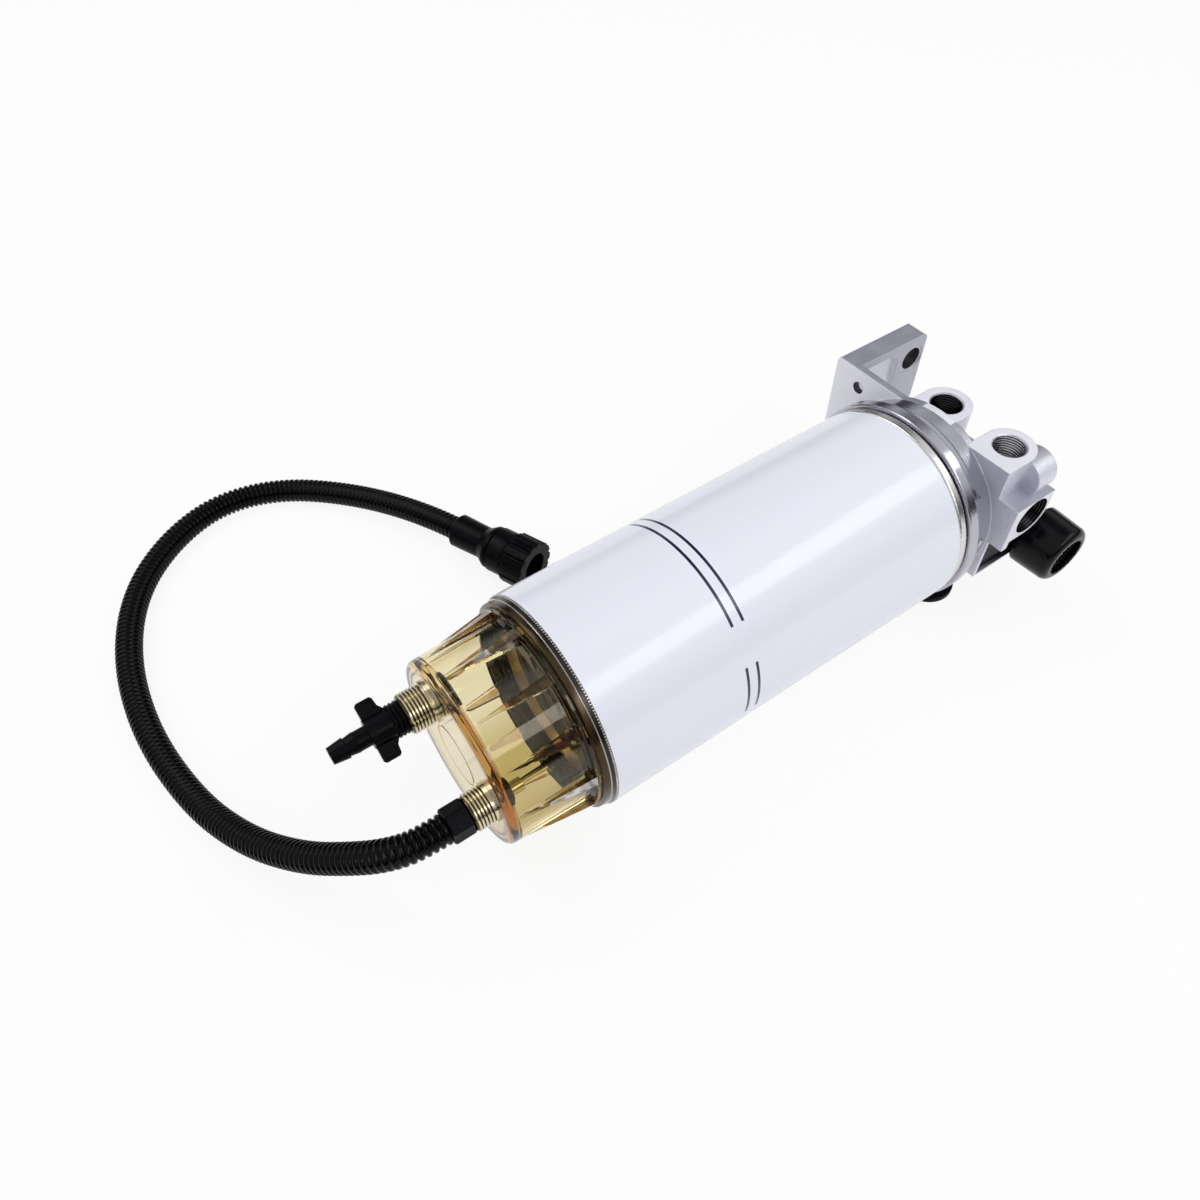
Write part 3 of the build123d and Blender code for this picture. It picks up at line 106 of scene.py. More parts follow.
class Graph:
    """A material's nodes, wired by short calls. Masks are values, 1 where they hold and 0 elsewhere."""

    def __init__(self, name):
        self.material = bpy.data.materials.new(name)
        self.material.use_nodes = True
        self.nodes = self.material.node_tree.nodes
        self.links = self.material.node_tree.links
        self.nodes.clear()
        self.output = self.nodes.new("ShaderNodeOutputMaterial")
        self.shader = self.nodes.new("ShaderNodeBsdfPrincipled")
        self.links.new(self.shader.outputs[0], self.output.inputs["Surface"])
        self.place = self.nodes.new("ShaderNodeTexCoord").outputs["Object"]

    def set(self, **values):
        for name, value in values.items():
            self.shader.inputs[name.replace("_", " ")].default_value = value

    def link(self, source, socket):
        self.links.new(source, self.shader.inputs[socket])

    def noise(self, scale, detail, rough, stretch=None):
        where = self.place
        if stretch:
            mapping = self.nodes.new("ShaderNodeMapping")
            mapping.inputs["Scale"].default_value = stretch
            self.links.new(where, mapping.inputs["Vector"])
            where = mapping.outputs[0]
        node = self.nodes.new("ShaderNodeTexNoise")
        node.inputs["Scale"].default_value = scale
        node.inputs["Detail"].default_value = detail
        node.inputs["Roughness"].default_value = rough
        self.links.new(where, node.inputs["Vector"])
        return node.outputs["Fac"]

    def range(self, value, low, high, out_low=0.0, out_high=1.0):
        """The value's way from low to high, as the way from out_low to out_high, and held at both ends."""
        node = self.nodes.new("ShaderNodeMapRange")
        node.inputs["From Min"].default_value = low
        node.inputs["From Max"].default_value = high
        node.inputs["To Min"].default_value = out_low
        node.inputs["To Max"].default_value = out_high
        self.links.new(value, node.inputs["Value"])
        return node.outputs["Result"]

    def spread(self, noise, low, high):
        """A noise, which mostly lies between 0.3 and 0.7, spread from low to high."""
        return self.range(noise, 0.3, 0.7, low, high)

    def band(self, value, low, high, soft):
        """Mask of a value between low and high, with edges twice soft wide."""
        rise = self.range(value, low - soft, low + soft)
        fall = self.range(value, high - soft, high + soft, 1.0, 0.0)
        return self.times(rise, fall)

    def math(self, kind, *values):
        node = self.nodes.new("ShaderNodeMath")
        node.operation = kind
        for socket, value in zip(node.inputs, values):
            if isinstance(value, (int, float)):
                socket.default_value = value
            else:
                self.links.new(value, socket)
        return node.outputs[0]

    def above(self, value, limit):
        return self.math("GREATER_THAN", value, limit)

    def below(self, value, limit):
        return self.math("LESS_THAN", value, limit)

    def plus(self, first, second):
        return self.math("ADD", first, second)

    def minus(self, first, second):
        return self.math("SUBTRACT", first, second)

    def times(self, first, *others):
        """Product of the values, which for masks holds where all of them do."""
        for other in others:
            first = self.math("MULTIPLY", first, other)
        return first

    def most(self, first, *others):
        """Greatest of the values, which for masks holds where any of them does."""
        for other in others:
            first = self.math("MAXIMUM", first, other)
        return first

    def distance(self, first, second):
        """How far a point is from an axis, from how far it is both ways."""
        return self.math("SQRT", self.plus(self.math("POWER", first, 2.0), self.math("POWER", second, 2.0)))

    def split(self, vector):
        node = self.nodes.new("ShaderNodeSeparateXYZ")
        self.links.new(vector, node.inputs[0])
        return node.outputs

    def about_axis(self):
        """Station, knobward and up of the point about the can's axis, in metres."""
        x, y, z = self.split(self.place)
        return self.minus(x, ORIGIN_X), self.minus(ORIGIN_Y, y), self.minus(z, AXIS_HEIGHT)

    def mixed(self, factor, first, second):
        """Between two values as the factor goes from 0 to 1."""
        node = self.nodes.new("ShaderNodeMix")
        node.data_type = "FLOAT"
        sockets = node.inputs["Factor"], node.inputs[2], node.inputs[3]
        for socket, value in zip(sockets, (factor, first, second)):
            self.links.new(value, socket)
        return node.outputs[0]

    def colours(self, factor, first, second):
        """Between two colours, given or linked, as the factor goes from 0 to 1."""
        node = self.nodes.new("ShaderNodeMix")
        node.data_type = "RGBA"
        self.links.new(factor, node.inputs["Factor"])
        for socket, value in ((node.inputs[6], first), (node.inputs[7], second)):
            if isinstance(value, tuple):
                socket.default_value = (*value, 1.0)
            else:
                self.links.new(value, socket)
        return node.outputs[2]

    def bump(self, height, depth, strength, rounded=None):
        """Surface from a height, with the edges rounded by a radius where one is given."""
        node = self.nodes.new("ShaderNodeBump")
        node.inputs["Distance"].default_value = depth
        node.inputs["Strength"].default_value = strength
        self.links.new(height, node.inputs["Height"])
        if rounded:
            bevel = self.nodes.new("ShaderNodeBevel")
            bevel.samples = 6
            bevel.inputs["Radius"].default_value = rounded
            self.links.new(bevel.outputs[0], node.inputs["Normal"])
        return node.outputs[0]


def bore(graph, first, second, radius):
    """Mask of a hole's wall, from how far a point is from the hole's axis both ways."""
    return graph.below(graph.distance(first, second), radius + 0.00015)


def thread(graph, first, second, along, pitch):
    """Height of a thread in a hole: 0 in its groove and 1 on its crest."""
    turn = graph.math("DIVIDE", graph.math("ARCTAN2", second, first), 2 * pi)
    wave = graph.math("PINGPONG", graph.plus(graph.math("DIVIDE", along, pitch), turn), 0.5)
    return graph.range(wave, 0.08, 0.42)


# Where the casting's finishes start and end, in metres about the can's axis
TURNED_END = 0.2366
WALL_FRONT = 0.2360
WALL_BACK = 0.2409
FRONT_EDGE = 0.0100
TONGUE_TOP = 0.0448
TONGUE_EDGE = -0.0215
PORT_MOUTH = 0.0442
PORT_END = 0.0200
SIDE_FACE = 0.0594
SIDE_PORT_END = 0.0330
BRACKET_FACE = -0.0540
POCKET_RIM = -0.0542
POCKET_FLOOR = -0.0566
SLOPE_FOOT = -0.0568
SLOPE_TOP = -0.0543


def cast_aluminium():
    g = Graph("cast_aluminium")
    g.set(Metallic=1.0)
    station, knobward, up = g.about_axis()
    normal = g.split(g.nodes.new("ShaderNodeNewGeometry").outputs["True Normal"])

    # Machined faces: port tops, side port's face and the wall's front; before the wall all is turned
    top = g.times(g.above(normal[2], 0.98), g.above(up, TONGUE_TOP), g.above(knobward, TONGUE_EDGE))
    side = g.times(g.below(normal[1], -0.98), g.above(knobward, SIDE_FACE))
    front = g.times(g.below(normal[0], -0.98), g.above(station, WALL_FRONT), g.below(knobward, FRONT_EDGE))
    milled = g.most(top, side, front)
    turned = g.times(g.below(station, TURNED_END), g.minus(1.0, front))
    # Painted light: the bracket pocket's floor, fading out toward its rim, and its slopes are made paler,
    # standing in for light and reflection they lack
    painted_light_pocket = g.times(g.range(knobward, POCKET_RIM, POCKET_FLOOR), g.below(normal[1], -0.5))
    slope = g.times(g.band(normal[1], -0.90, -0.30, 0.02), g.band(knobward, SLOPE_FOOT, SLOPE_TOP, 0.00005))

    # Threaded holes: how far from the axis both ways, the way along it, the radius and pitch, where the hole
    # lies, and how dark painted shade makes it
    in_port = g.times(g.below(up, PORT_MOUTH), g.above(up, PORT_END))
    in_side_port = g.above(knobward, SIDE_PORT_END)
    in_wall = g.below(station, WALL_BACK)
    holes = [
        (g.minus(station, 0.2530), g.plus(knobward, 0.0063), up, 0.0082, 0.0015, in_port, 0.93),
        (g.minus(station, 0.2530), g.minus(knobward, 0.0343), up, 0.0082, 0.0015, in_port, 0.0),
        (g.minus(station, 0.2520), g.minus(up, 0.0173), knobward, 0.0104, 0.0015, in_side_port, 0.95),
        (g.minus(up, 0.0342), g.plus(knobward, 0.0509), station, 0.0033, 0.0010, in_wall, 0.93),
    ]
    bolt_hole = bore(g, g.minus(station, 0.2830), g.minus(up, 0.0310), 0.0065)
    bores = []
    grooves = []
    # Painted shade inside the bolt hole and the threaded holes
    painted_shade_in_holes = [g.times(bolt_hole, g.below(knobward, BRACKET_FACE), 0.85)]
    for first, second, along, radius, pitch, within, dark in holes:
        wall = g.times(bore(g, first, second, radius), within)
        bores.append(wall)
        grooves.append(g.times(wall, g.minus(1.0, thread(g, first, second, along, pitch))))
        painted_shade_in_holes.append(g.times(wall, dark))
    bored = g.most(*bores)
    groove = g.most(*grooves)

    # Cast skin, paler as painted light where it faces the can and the pump's side, which lie in shade, then
    # what was done to it
    grain = g.noise(1400.0, 4.0, 0.6)
    broad = g.noise(45.0, 3.0, 0.55)
    painted_light_toward_can = g.below(normal[0], -0.9)
    painted_light_toward_pump = g.times(g.range(normal[1], -0.30, -0.60), g.above(knobward, 0.0))
    colour = g.colours(broad, (0.44, 0.44, 0.51), (0.60, 0.60, 0.67))
    # Painted light: faces toward the can and toward the pump's side get a paler skin, standing in for the
    # light their shade takes away
    colour = g.colours(painted_light_toward_can, colour, g.colours(broad, (0.62, 0.62, 0.70), (0.80, 0.80, 0.88)))
    colour = g.colours(painted_light_toward_pump, colour, g.colours(broad, (0.74, 0.74, 0.82), (0.90, 0.90, 0.97)))
    # Painted light on the pocket's floor and slopes
    colour = g.colours(painted_light_pocket, colour, (0.76, 0.76, 0.81))
    colour = g.colours(slope, colour, (0.92, 0.92, 0.95))
    colour = g.colours(milled, colour, g.colours(broad, (0.90, 0.90, 0.95), (0.96, 0.96, 0.99)))
    colour = g.colours(turned, colour, g.colours(broad, (0.40, 0.40, 0.46), (0.54, 0.54, 0.60)))
    colour = g.colours(bored, colour, (0.92, 0.92, 0.94))
    # Painted shade: near black in the threads' grooves and on the walls of the bolt hole and the darkened
    # holes
    colour = g.colours(g.times(groove, 0.95), colour, (0.02, 0.02, 0.025))
    colour = g.colours(g.most(*painted_shade_in_holes), colour, (0.006, 0.006, 0.010))
    g.link(colour, "Base Color")

    smooth = g.most(turned, bored)
    rough = g.plus(g.spread(grain, 0.48, 0.58), g.spread(broad, -0.03, 0.05))
    rough = g.plus(rough, g.times(g.most(milled, slope), 0.25))
    fine = g.spread(g.noise(3000.0, 2.0, 0.5, stretch=(1.0, 0.08, 0.08)), 0.10, 0.18)
    g.link(g.mixed(smooth, rough, fine), "Roughness")
    depth = g.range(g.most(milled, smooth), 0.0, 1.0, 1.0, 0.15)
    dents = g.times(g.noise(320.0, 3.0, 0.55), g.times(depth, 1.6))
    height = g.minus(g.plus(g.times(grain, depth), dents), g.times(groove, 2.2))
    g.link(g.bump(height, 0.00026, 0.7, rounded=0.0011), "Normal")
    return g.material


# Double stripes round the can: their stations in metres, and where they run, in degrees from up toward
# the pump's side
STRIPES = ((0.0713, 0.0728), (0.0773, 0.0788))
STRIPE_RUNS = ((-43.0, 44.0), (66.0, 98.0))


def white_enamel():
    g = Graph("white_enamel")
    g.set(Metallic=0.0, Coat_Weight=0.50, Coat_Roughness=0.11, Specular_IOR_Level=0.30)
    station, knobward, up = g.about_axis()
    angle = g.times(g.math("ARCTAN2", knobward, up), 180 / pi)
    lines = g.most(*(g.band(station, start, end, 0.00006) for start, end in STRIPES))
    runs = g.most(*(g.band(angle, start, end, 0.1) for start, end in STRIPE_RUNS))
    white = g.colours(g.noise(14.0, 2.0, 0.5), (0.83, 0.85, 0.94), (0.84, 0.86, 0.95))
    g.link(g.colours(g.times(lines, runs), white, (0.010, 0.014, 0.060)), "Base Color")
    g.link(g.spread(g.noise(9.0, 1.0, 0.5), 0.25, 0.28), "Roughness")
    g.link(g.bump(g.noise(1800.0, 1.0, 0.5), 0.00001, 0.05), "Normal")
    return g.material


def moulded(name, colour, low, high, specular, depth=0.00008, rounded=0.0004):
    """Black moulded plastic or rubber with a fine grain and slightly paler worn places."""
    g = Graph(name)
    g.set(Metallic=0.0, Specular_IOR_Level=specular)
    paler = tuple(channel * 1.8 + 0.001 for channel in colour)
    g.link(g.colours(g.range(g.noise(120.0, 4.0, 0.6), 0.45, 0.8), colour, paler), "Base Color")
    g.link(g.spread(g.noise(260.0, 3.0, 0.6), low, high), "Roughness")
    g.link(g.bump(g.noise(900.0, 3.0, 0.55), depth, 0.5, rounded=rounded), "Normal")
    return g.material


def scratched(graph, low, high, rounded, stretch=None):
    """Fine scratches in a metal, seen in its surface and in its roughness from low to high."""
    scratch = graph.noise(900.0, 3.0, 0.6, stretch=stretch)
    graph.link(graph.spread(scratch, low, high), "Roughness")
    graph.link(graph.bump(scratch, 0.00004, 0.4, rounded=rounded), "Normal")


def spring_steel():
    g = Graph("spring_steel")
    g.set(Metallic=1.0)
    g.link(g.colours(g.noise(70.0, 3.0, 0.6), (0.45, 0.45, 0.47), (0.6, 0.6, 0.62)), "Base Color")
    scratched(g, 0.25, 0.35, rounded=0.0003)
    return g.material


# The brass bosses' axes, knobward and up, and the radius of each thread's crests; past the foot, in metres
BRASS_BOSSES = ((-0.0174, 0.0210, 0.0097), (0.0300, 0.0045, 0.0088))
BOSS_THREADS = -0.0508


def brass_fitting():
    """Pale brass, with painted shade darkening the roots of the two bosses' threads."""
    g = Graph("brass_fitting")
    g.set(Metallic=1.0)
    station, knobward, up = g.about_axis()
    painted_root_shades = []
    for across, height, crest in BRASS_BOSSES:
        reach = g.distance(g.minus(knobward, across), g.minus(up, height))
        painted_root_shades.append(g.band(reach, crest - 0.0030, crest - 0.0003, 0.00015))
    painted_root_shade = g.times(g.most(*painted_root_shades), g.below(station, BOSS_THREADS))
    tone = g.colours(g.noise(160.0, 3.0, 0.6), (0.60, 0.52, 0.34), (0.82, 0.74, 0.54))
    # Painted shade in the thread roots
    g.link(g.colours(painted_root_shade, tone, (0.10, 0.075, 0.035)), "Base Color")
    scratched(g, 0.10, 0.20, rounded=0.0002)
    return g.material


def plated_steel():
    """Zinc plate: bright at the seam, dark on the ring at the can's open end, with a painted highlight on its
    teeth's crests and on a thin line at its edge.
    """
    g = Graph("plated_steel")
    g.set(Metallic=1.0)
    station, knobward, up = g.about_axis()
    reach = g.distance(knobward, up)
    ring = g.times(g.below(station, 0.0004), g.above(reach, 0.0400))
    crests = g.times(g.above(reach, CREST_REACH / 1000), g.above(station, CREST_START / 1000))
    # Painted highlight: the knurl's crests and a thin line at the crimp's edge are made pale
    paler = g.most(crests, g.band(station, -0.0029, -0.0026, 0.00006))
    bright = g.colours(g.noise(70.0, 3.0, 0.6), (0.66, 0.64, 0.63), (0.80, 0.78, 0.77))
    dark = g.colours(g.below(station, -0.0030), (0.040, 0.037, 0.035), (0.065, 0.046, 0.026))
    dark = g.colours(paler, dark, (0.62, 0.58, 0.52))
    g.link(g.colours(ring, bright, dark), "Base Color")
    scratched(g, 0.16, 0.30, rounded=0.0003, stretch=(1.0, 0.2, 0.2))
    return g.material


# The dish's bright rim, in metres: from this reach outward, as far as this station
RIM_REACH = 0.0388
RIM_END = 0.0100


def dark_steel():
    """Dark gloss with a bright passivated rim, for the dish under the element."""
    g = Graph("dark_steel")
    g.set(Metallic=0.6, Coat_Weight=0.6, Coat_Roughness=0.06)
    station, knobward, up = g.about_axis()
    rim = g.times(g.above(g.distance(knobward, up), RIM_REACH), g.below(station, RIM_END))
    dark = g.colours(g.noise(30.0, 3.0, 0.5), (0.020, 0.017, 0.014), (0.045, 0.038, 0.030))
    pale = g.colours(g.noise(60.0, 3.0, 0.5), (0.30, 0.22, 0.14), (0.44, 0.34, 0.23))
    g.link(g.colours(rim, dark, pale), "Base Color")
    g.link(g.spread(g.noise(200.0, 3.0, 0.5), 0.18, 0.28), "Roughness")
    g.link(g.bump(g.noise(160.0, 2.0, 0.5), 0.00004, 0.3, rounded=0.0003), "Normal")
    return g.material


def amber_plastic():
    """Clear amber, deeper where it is thick, at the ribs and the foot's border, with painted shade on the
    pump's side.
    """
    g = Graph("amber_plastic")
    g.set(Metallic=0.0, Transmission_Weight=1.0, IOR=1.45, Specular_IOR_Level=0.30)
    station, knobward, up = g.about_axis()
    reach = g.distance(knobward, up)
    face = FOOT_FACE / 1000
    wall = g.range(station, WALL_FOOT[0] / 1000, WALL_TOP[0] / 1000, WALL_FOOT[1] / 1000, WALL_TOP[1] / 1000)
    rib = g.range(g.minus(reach, wall), 0.0001, 0.0006)
    foot = g.range(station, face + 0.0011, face + 0.0003)
    border = g.times(g.range(station, face + 0.0049, face + 0.0031), g.range(reach, 0.0385, 0.0400))
    # Painted shade: a darker amber on the pump's side stands in for the shadowed floor seen through the bowl
    # there
    painted_shade_pump_side = g.times(g.range(knobward, 0.010, 0.030), g.range(knobward, 0.036, 0.046, 1.0, 0.35))
    near = g.times(g.range(knobward, -0.010, 0.012), g.range(up, -0.035, -0.008, 0.3, 1.0))
    tint = g.colours(g.noise(25.0, 2.0, 0.5), (1.0, 0.97, 0.90), (1.0, 0.98, 0.93))
    tint = g.colours(painted_shade_pump_side, tint, (0.66, 0.55, 0.26))
    tint = g.colours(rib, tint, (0.64, 0.47, 0.19))
    tint = g.colours(foot, tint, (0.86, 0.76, 0.69))
    tint = g.colours(border, tint, g.colours(near, (0.86, 0.68, 0.48), (0.44, 0.17, 0.02)))
    g.link(tint, "Base Color")
    g.link(g.spread(g.noise(160.0, 3.0, 0.5), 0.0, 0.03), "Roughness")
    g.link(g.bump(g.noise(110.0, 2.0, 0.5), 0.00004, 0.25), "Normal")
    absorb = g.nodes.new("ShaderNodeVolumeAbsorption")
    absorb.inputs["Color"].default_value = (0.90, 0.76, 0.10, 1.0)
    absorb.inputs["Density"].default_value = 85.0
    g.links.new(absorb.outputs[0], g.output.inputs["Volume"])
    return g.material


def filter_paper():
    g = Graph("filter_paper")
    g.set(Metallic=0.0, Specular_IOR_Level=0.2)
    fibre = g.noise(700.0, 5.0, 0.7, stretch=(0.35, 1.0, 1.0))
    g.link(g.colours(fibre, (0.46, 0.36, 0.20), (0.66, 0.55, 0.36)), "Base Color")
    g.link(g.spread(fibre, 0.75, 0.95), "Roughness")
    g.link(g.bump(fibre, 0.0001, 0.5), "Normal")
    return g.material


FINISHES = {
    "cast_aluminium": cast_aluminium(),
    "white_enamel": white_enamel(),
    "black_moulding": moulded("black_moulding", (0.0012, 0.0012, 0.0022), 0.26, 0.40, 0.07),
    "black_knob": moulded(
        "black_knob", (0.0018, 0.0018, 0.0028), 0.12, 0.20, 0.16, depth=0.00004, rounded=0.0008
    ),
    "black_conduit": moulded(
        "black_conduit", (0.0004, 0.0004, 0.0008), 0.07, 0.13, 0.12, depth=0.00003, rounded=None
    ),
    "black_rubber": moulded("black_rubber", (0.0040, 0.0040, 0.0045), 0.50, 0.70, 0.12),
    "plated_steel": plated_steel(),
    "dark_steel": dark_steel(),
    "spring_steel": spring_steel(),
    "brass_fitting": brass_fitting(),
    "amber_plastic": amber_plastic(),
    "filter_paper": filter_paper(),
}
for subpart in frame["record"]["subparts"]:
    for place in frame["nodes"][subpart["node"]].material_slots:
        place.link = "OBJECT"
        place.material = FINISHES[subpart["material_slot"]]


# Conduit: its route in metres, from the sensor's nut down to the surface and round to the connector
ROUTE = [
    (-0.16825, -0.02565, 0.0598),
    (-0.18025, -0.02565, 0.0598),
    (-0.19175, -0.02165, 0.0575),
    (-0.20325, -0.01215, 0.0510),
    (-0.22225, 0.00985, 0.0360),
    (-0.24025, 0.04285, 0.0190),
    (-0.25375, 0.08435, 0.0070),
    (-0.25975, 0.13535, 0.0070),
    (-0.25325, 0.18735, 0.0070),
    (-0.23425, 0.23035, 0.0070),
    (-0.20425, 0.25835, 0.0070),
    (-0.16925, 0.27145, 0.0070),
    (-0.13225, 0.26135, 0.0070),
    (-0.09825, 0.22935, 0.0080),
    (-0.07352, 0.18310, 0.0150),
    (-0.06345, 0.15805, 0.0150),
]
ROUTE_STEPS = 40
CONDUIT_RADIUS = 0.007
CONDUIT_SIDES = 24
RING_PITCH = 0.0030
RING_DEPTH = 0.0011
RING_SHAPE = (0.0, 0.62, 0.93, 1.0, 1.0, 0.93, 0.62, 0.0)


def spline_points(points, steps):
    """Points along the NURBS curve that has the route's points as its control points."""
    data = bpy.data.curves.new("route", "CURVE")
    data.dimensions = "3D"
    data.resolution_u = steps
    spline = data.splines.new("NURBS")
    spline.points.add(len(points) - 1)
    for point, place in zip(spline.points, points):
        point.co = (*place, 1.0)
    spline.order_u = 3
    spline.use_endpoint_u = True
    carrier = bpy.data.objects.new("route", data)
    bpy.context.scene.collection.objects.link(carrier)
    bpy.context.view_layer.update()
    mesh = bpy.data.meshes.new_from_object(carrier)
    line = [vertex.co.copy() for vertex in mesh.vertices]
    bpy.data.objects.remove(carrier)
    bpy.data.meshes.remove(mesh)
    return line


def evenly(line, spacing):
    """The same line with its points about this far apart."""
    lengths = [0.0]
    for first, second in zip(line, line[1:]):
        lengths.append(lengths[-1] + (second - first).length)
    count = round(lengths[-1] / spacing)
    points = []
    index = 0
    for number in range(count + 1):
        target = lengths[-1] * number / count
        while index < len(line) - 2 and lengths[index + 1] < target:
            index += 1
        share = (target - lengths[index]) / max(lengths[index + 1] - lengths[index], 1e-9)
        points.append(line[index].lerp(line[index + 1], share))
    return points


def mesh_object(name, vertices, faces, material, smooth=True):
    mesh = bpy.data.meshes.new(name)
    mesh.from_pydata(vertices, [], faces)
    mesh.update()
    mesh.polygons.foreach_set("use_smooth", [smooth] * len(mesh.polygons))
    mesh.materials.append(material)
    piece = bpy.data.objects.new(name, mesh)
    bpy.context.scene.collection.objects.link(piece)
    return piece


def sweep_tube(name, line, radii, sides, material):
    """Tube round the line, with one ring of points at each of the line's points and flat ends."""
    vertices = []
    faces = []
    tangent = (line[1] - line[0]).normalized()
    across = tangent.orthogonal().normalized()
    for number, centre in enumerate(line):
        before = line[max(number - 1, 0)]
        after = line[min(number + 1, len(line) - 1)]
        heading = (after - before).normalized()
        across = (across - heading * across.dot(heading)).normalized()
        other = heading.cross(across)
        for side in range(sides):
            turn = 2 * pi * side / sides
            vertices.append(centre + (across * cos(turn) + other * sin(turn)) * radii[number])
    for number in range(len(line) - 1):
        for side in range(sides):
            a = number * sides + side
            b = number * sides + (side + 1) % sides
            faces.append((a, b, b + sides, a + sides))
    faces.append(tuple(reversed(range(sides))))
    last = (len(line) - 1) * sides
    faces.append(tuple(last + side for side in range(sides)))
    return mesh_object(name, vertices, faces, material)


fine_line = spline_points(ROUTE, ROUTE_STEPS)
tube_line = evenly(fine_line, RING_PITCH / len(RING_SHAPE))
ring_heights = [RING_SHAPE[number % len(RING_SHAPE)] for number in range(len(tube_line))]
tube_radii = [CONDUIT_RADIUS - RING_DEPTH * (1 - height) for height in ring_heights]
conduit = sweep_tube("conduit_corrugated", tube_line, tube_radii, CONDUIT_SIDES, FINISHES["black_conduit"])
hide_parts("conduit")
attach(conduit, "water_bowl")

# Skins about the can's axis, in millimetres; an edge sharper than this many degrees stays sharp
SHARP_EDGE = 28


def arc(centre, radius, start, end, steps):
    """Pairs along an arc; its angles go from the can's axis toward its outside, in degrees."""
    pairs = []
    for step in range(steps + 1):
        turn = radians(start + (end - start) * step / steps)
        pairs.append((centre[0] + radius * cos(turn), centre[1] + radius * sin(turn)))
    return pairs


def straight(first, last, stations):
    """Pairs at these stations on the straight line through two pairs."""
    slope = (last[1] - first[1]) / (last[0] - first[0])
    return [(station, first[1] + slope * (station - first[0])) for station in stations]


def skin(name, rows, material, closed):
    """Skin through rings of points that have the same count; closed joins the last ring to the first."""
    count = len(rows[0])
    vertices = [point for row in rows for point in row]
    faces = []
    for number in range(len(rows) if closed else len(rows) - 1):
        near = number * count
        far = (number + 1) % len(rows) * count
        for side in range(count):
            after = (side + 1) % count
            faces.append((near + side, far + side, far + after, near + after))
    if not closed:
        faces.append(tuple(range(count)))
        faces.append(tuple((len(rows) - 1) * count + side for side in reversed(range(count))))
    piece = mesh_object(name, vertices, faces, material)
    shell = bmesh.new()
    shell.from_mesh(piece.data)
    bmesh.ops.recalc_face_normals(shell, faces=shell.faces)
    shell.to_mesh(piece.data)
    shell.free()
    piece.data.set_sharp_from_angle(angle=radians(SHARP_EDGE))
    return piece


# Water bowl: flat foot with its mark, tapered wall with twelve ribs, flange and neck, in one clear skin. The
# mark is a groove between two reaches; a rib's half width and outer face are given at its top and at its tip.
MARK = (14.5, 15.5)
MARK_DEPTH = 0.5
WALL = 2.8
INNER_CORNER = 4.0
INNER_FOOT = (FOOT_FACE + WALL + INNER_CORNER, WALL_FOOT[1] - WALL)
INNER_TOP = (-11.15, WALL_TOP[1] - WALL)
NECK = 46.12
NECK_BORE = 42.9
SEAT = 49.55
RIB_TURNS = [radians(-38 + 30 * rib) for rib in range(12)]
RIB_TOP = -8.15
RIB_TIP = -39.0
RIB_HALF = (2.8, 0.4)
RIB_FACE = (50.3, 46.1)
WALL_STEPS = 20


def bowl_ring(station, reach):
    """One ring of the bowl's skin; a rib narrows and sinks from its top under the flange to its tip."""
    share = min(max((RIB_TOP - station) / (RIB_TOP - RIB_TIP), 0.0), 1.0)
    half = RIB_HALF[0] + (RIB_HALF[1] - RIB_HALF[0]) * share
    face = RIB_FACE[0] + (RIB_FACE[1] - RIB_FACE[0]) * share
    base = asin(half / reach)
    if RIB_TIP - 0.01 < station < RIB_TOP + 0.05 and reach < FLANGE - 0.6:
        crest = atan2(half, face)
        proud = hypot(half, face)
    else:
        crest = base * 0.6
        proud = reach
    ring = []
    for rib in RIB_TURNS:
        for turn, radius in ((-base, reach), (-crest, proud), (crest, proud), (base, reach)):
            ring.append(about_can(station, radius, rib + turn))
        for step in range(1, WALL_STEPS):
            turn = base + (radians(30) - 2 * base) * step / WALL_STEPS
            ring.append(about_can(station, reach, rib + turn))
    return ring


mark_floor = FOOT_FACE + MARK_DEPTH
outside = [(FOOT_FACE, MARK[0]), (mark_floor, MARK[0]), (mark_floor, MARK[1]), (FOOT_FACE, MARK[1])]
outside.append((FOOT_FACE, WALL_FOOT[1] - FOOT_CORNER - 0.3))
outside += arc((WALL_FOOT[0], WALL_FOOT[1] - FOOT_CORNER), FOOT_CORNER, 180, 90, 10)
rib_stations = [RIB_TIP + 3.0 * step for step in range(10)]
outside += straight(WALL_FOOT, WALL_TOP, [-45.5, -43.0, -40.2, *rib_stations, -9.9])
outside += [WALL_TOP, (RIB_TOP, WALL_TOP[1] + 1.5)]
outside += [(RIB_TOP, FLANGE - 0.5), (RIB_TOP + 0.5, FLANGE), (-6.45, FLANGE), (-6.15, FLANGE - 0.3)]
inside = [(-6.15, SEAT), (-8.0, SEAT), (-8.0, NECK), (NECK_END - 1.0, NECK), (NECK_END, NECK - 1.0)]
inside += [(NECK_END, NECK_BORE), (RIB_TOP, NECK_BORE)]
inside += straight(INNER_FOOT, INNER_TOP, [INNER_TOP[0], -11.6, -20.0, -30.0, -41.7])
inside += arc((INNER_FOOT[0], INNER_FOOT[1] - INNER_CORNER), INNER_CORNER, 90, 180, 10)
inside.append((INNER_FOOT[0] - INNER_CORNER, INNER_FOOT[1] - INNER_CORNER - 0.4))
bowl_rows = [bowl_ring(*pair) for pair in outside + inside]
water_bowl = skin("water_bowl_clear", bowl_rows, FINISHES["amber_plastic"], closed=False)
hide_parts("bowl")
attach(water_bowl, "water_bowl")

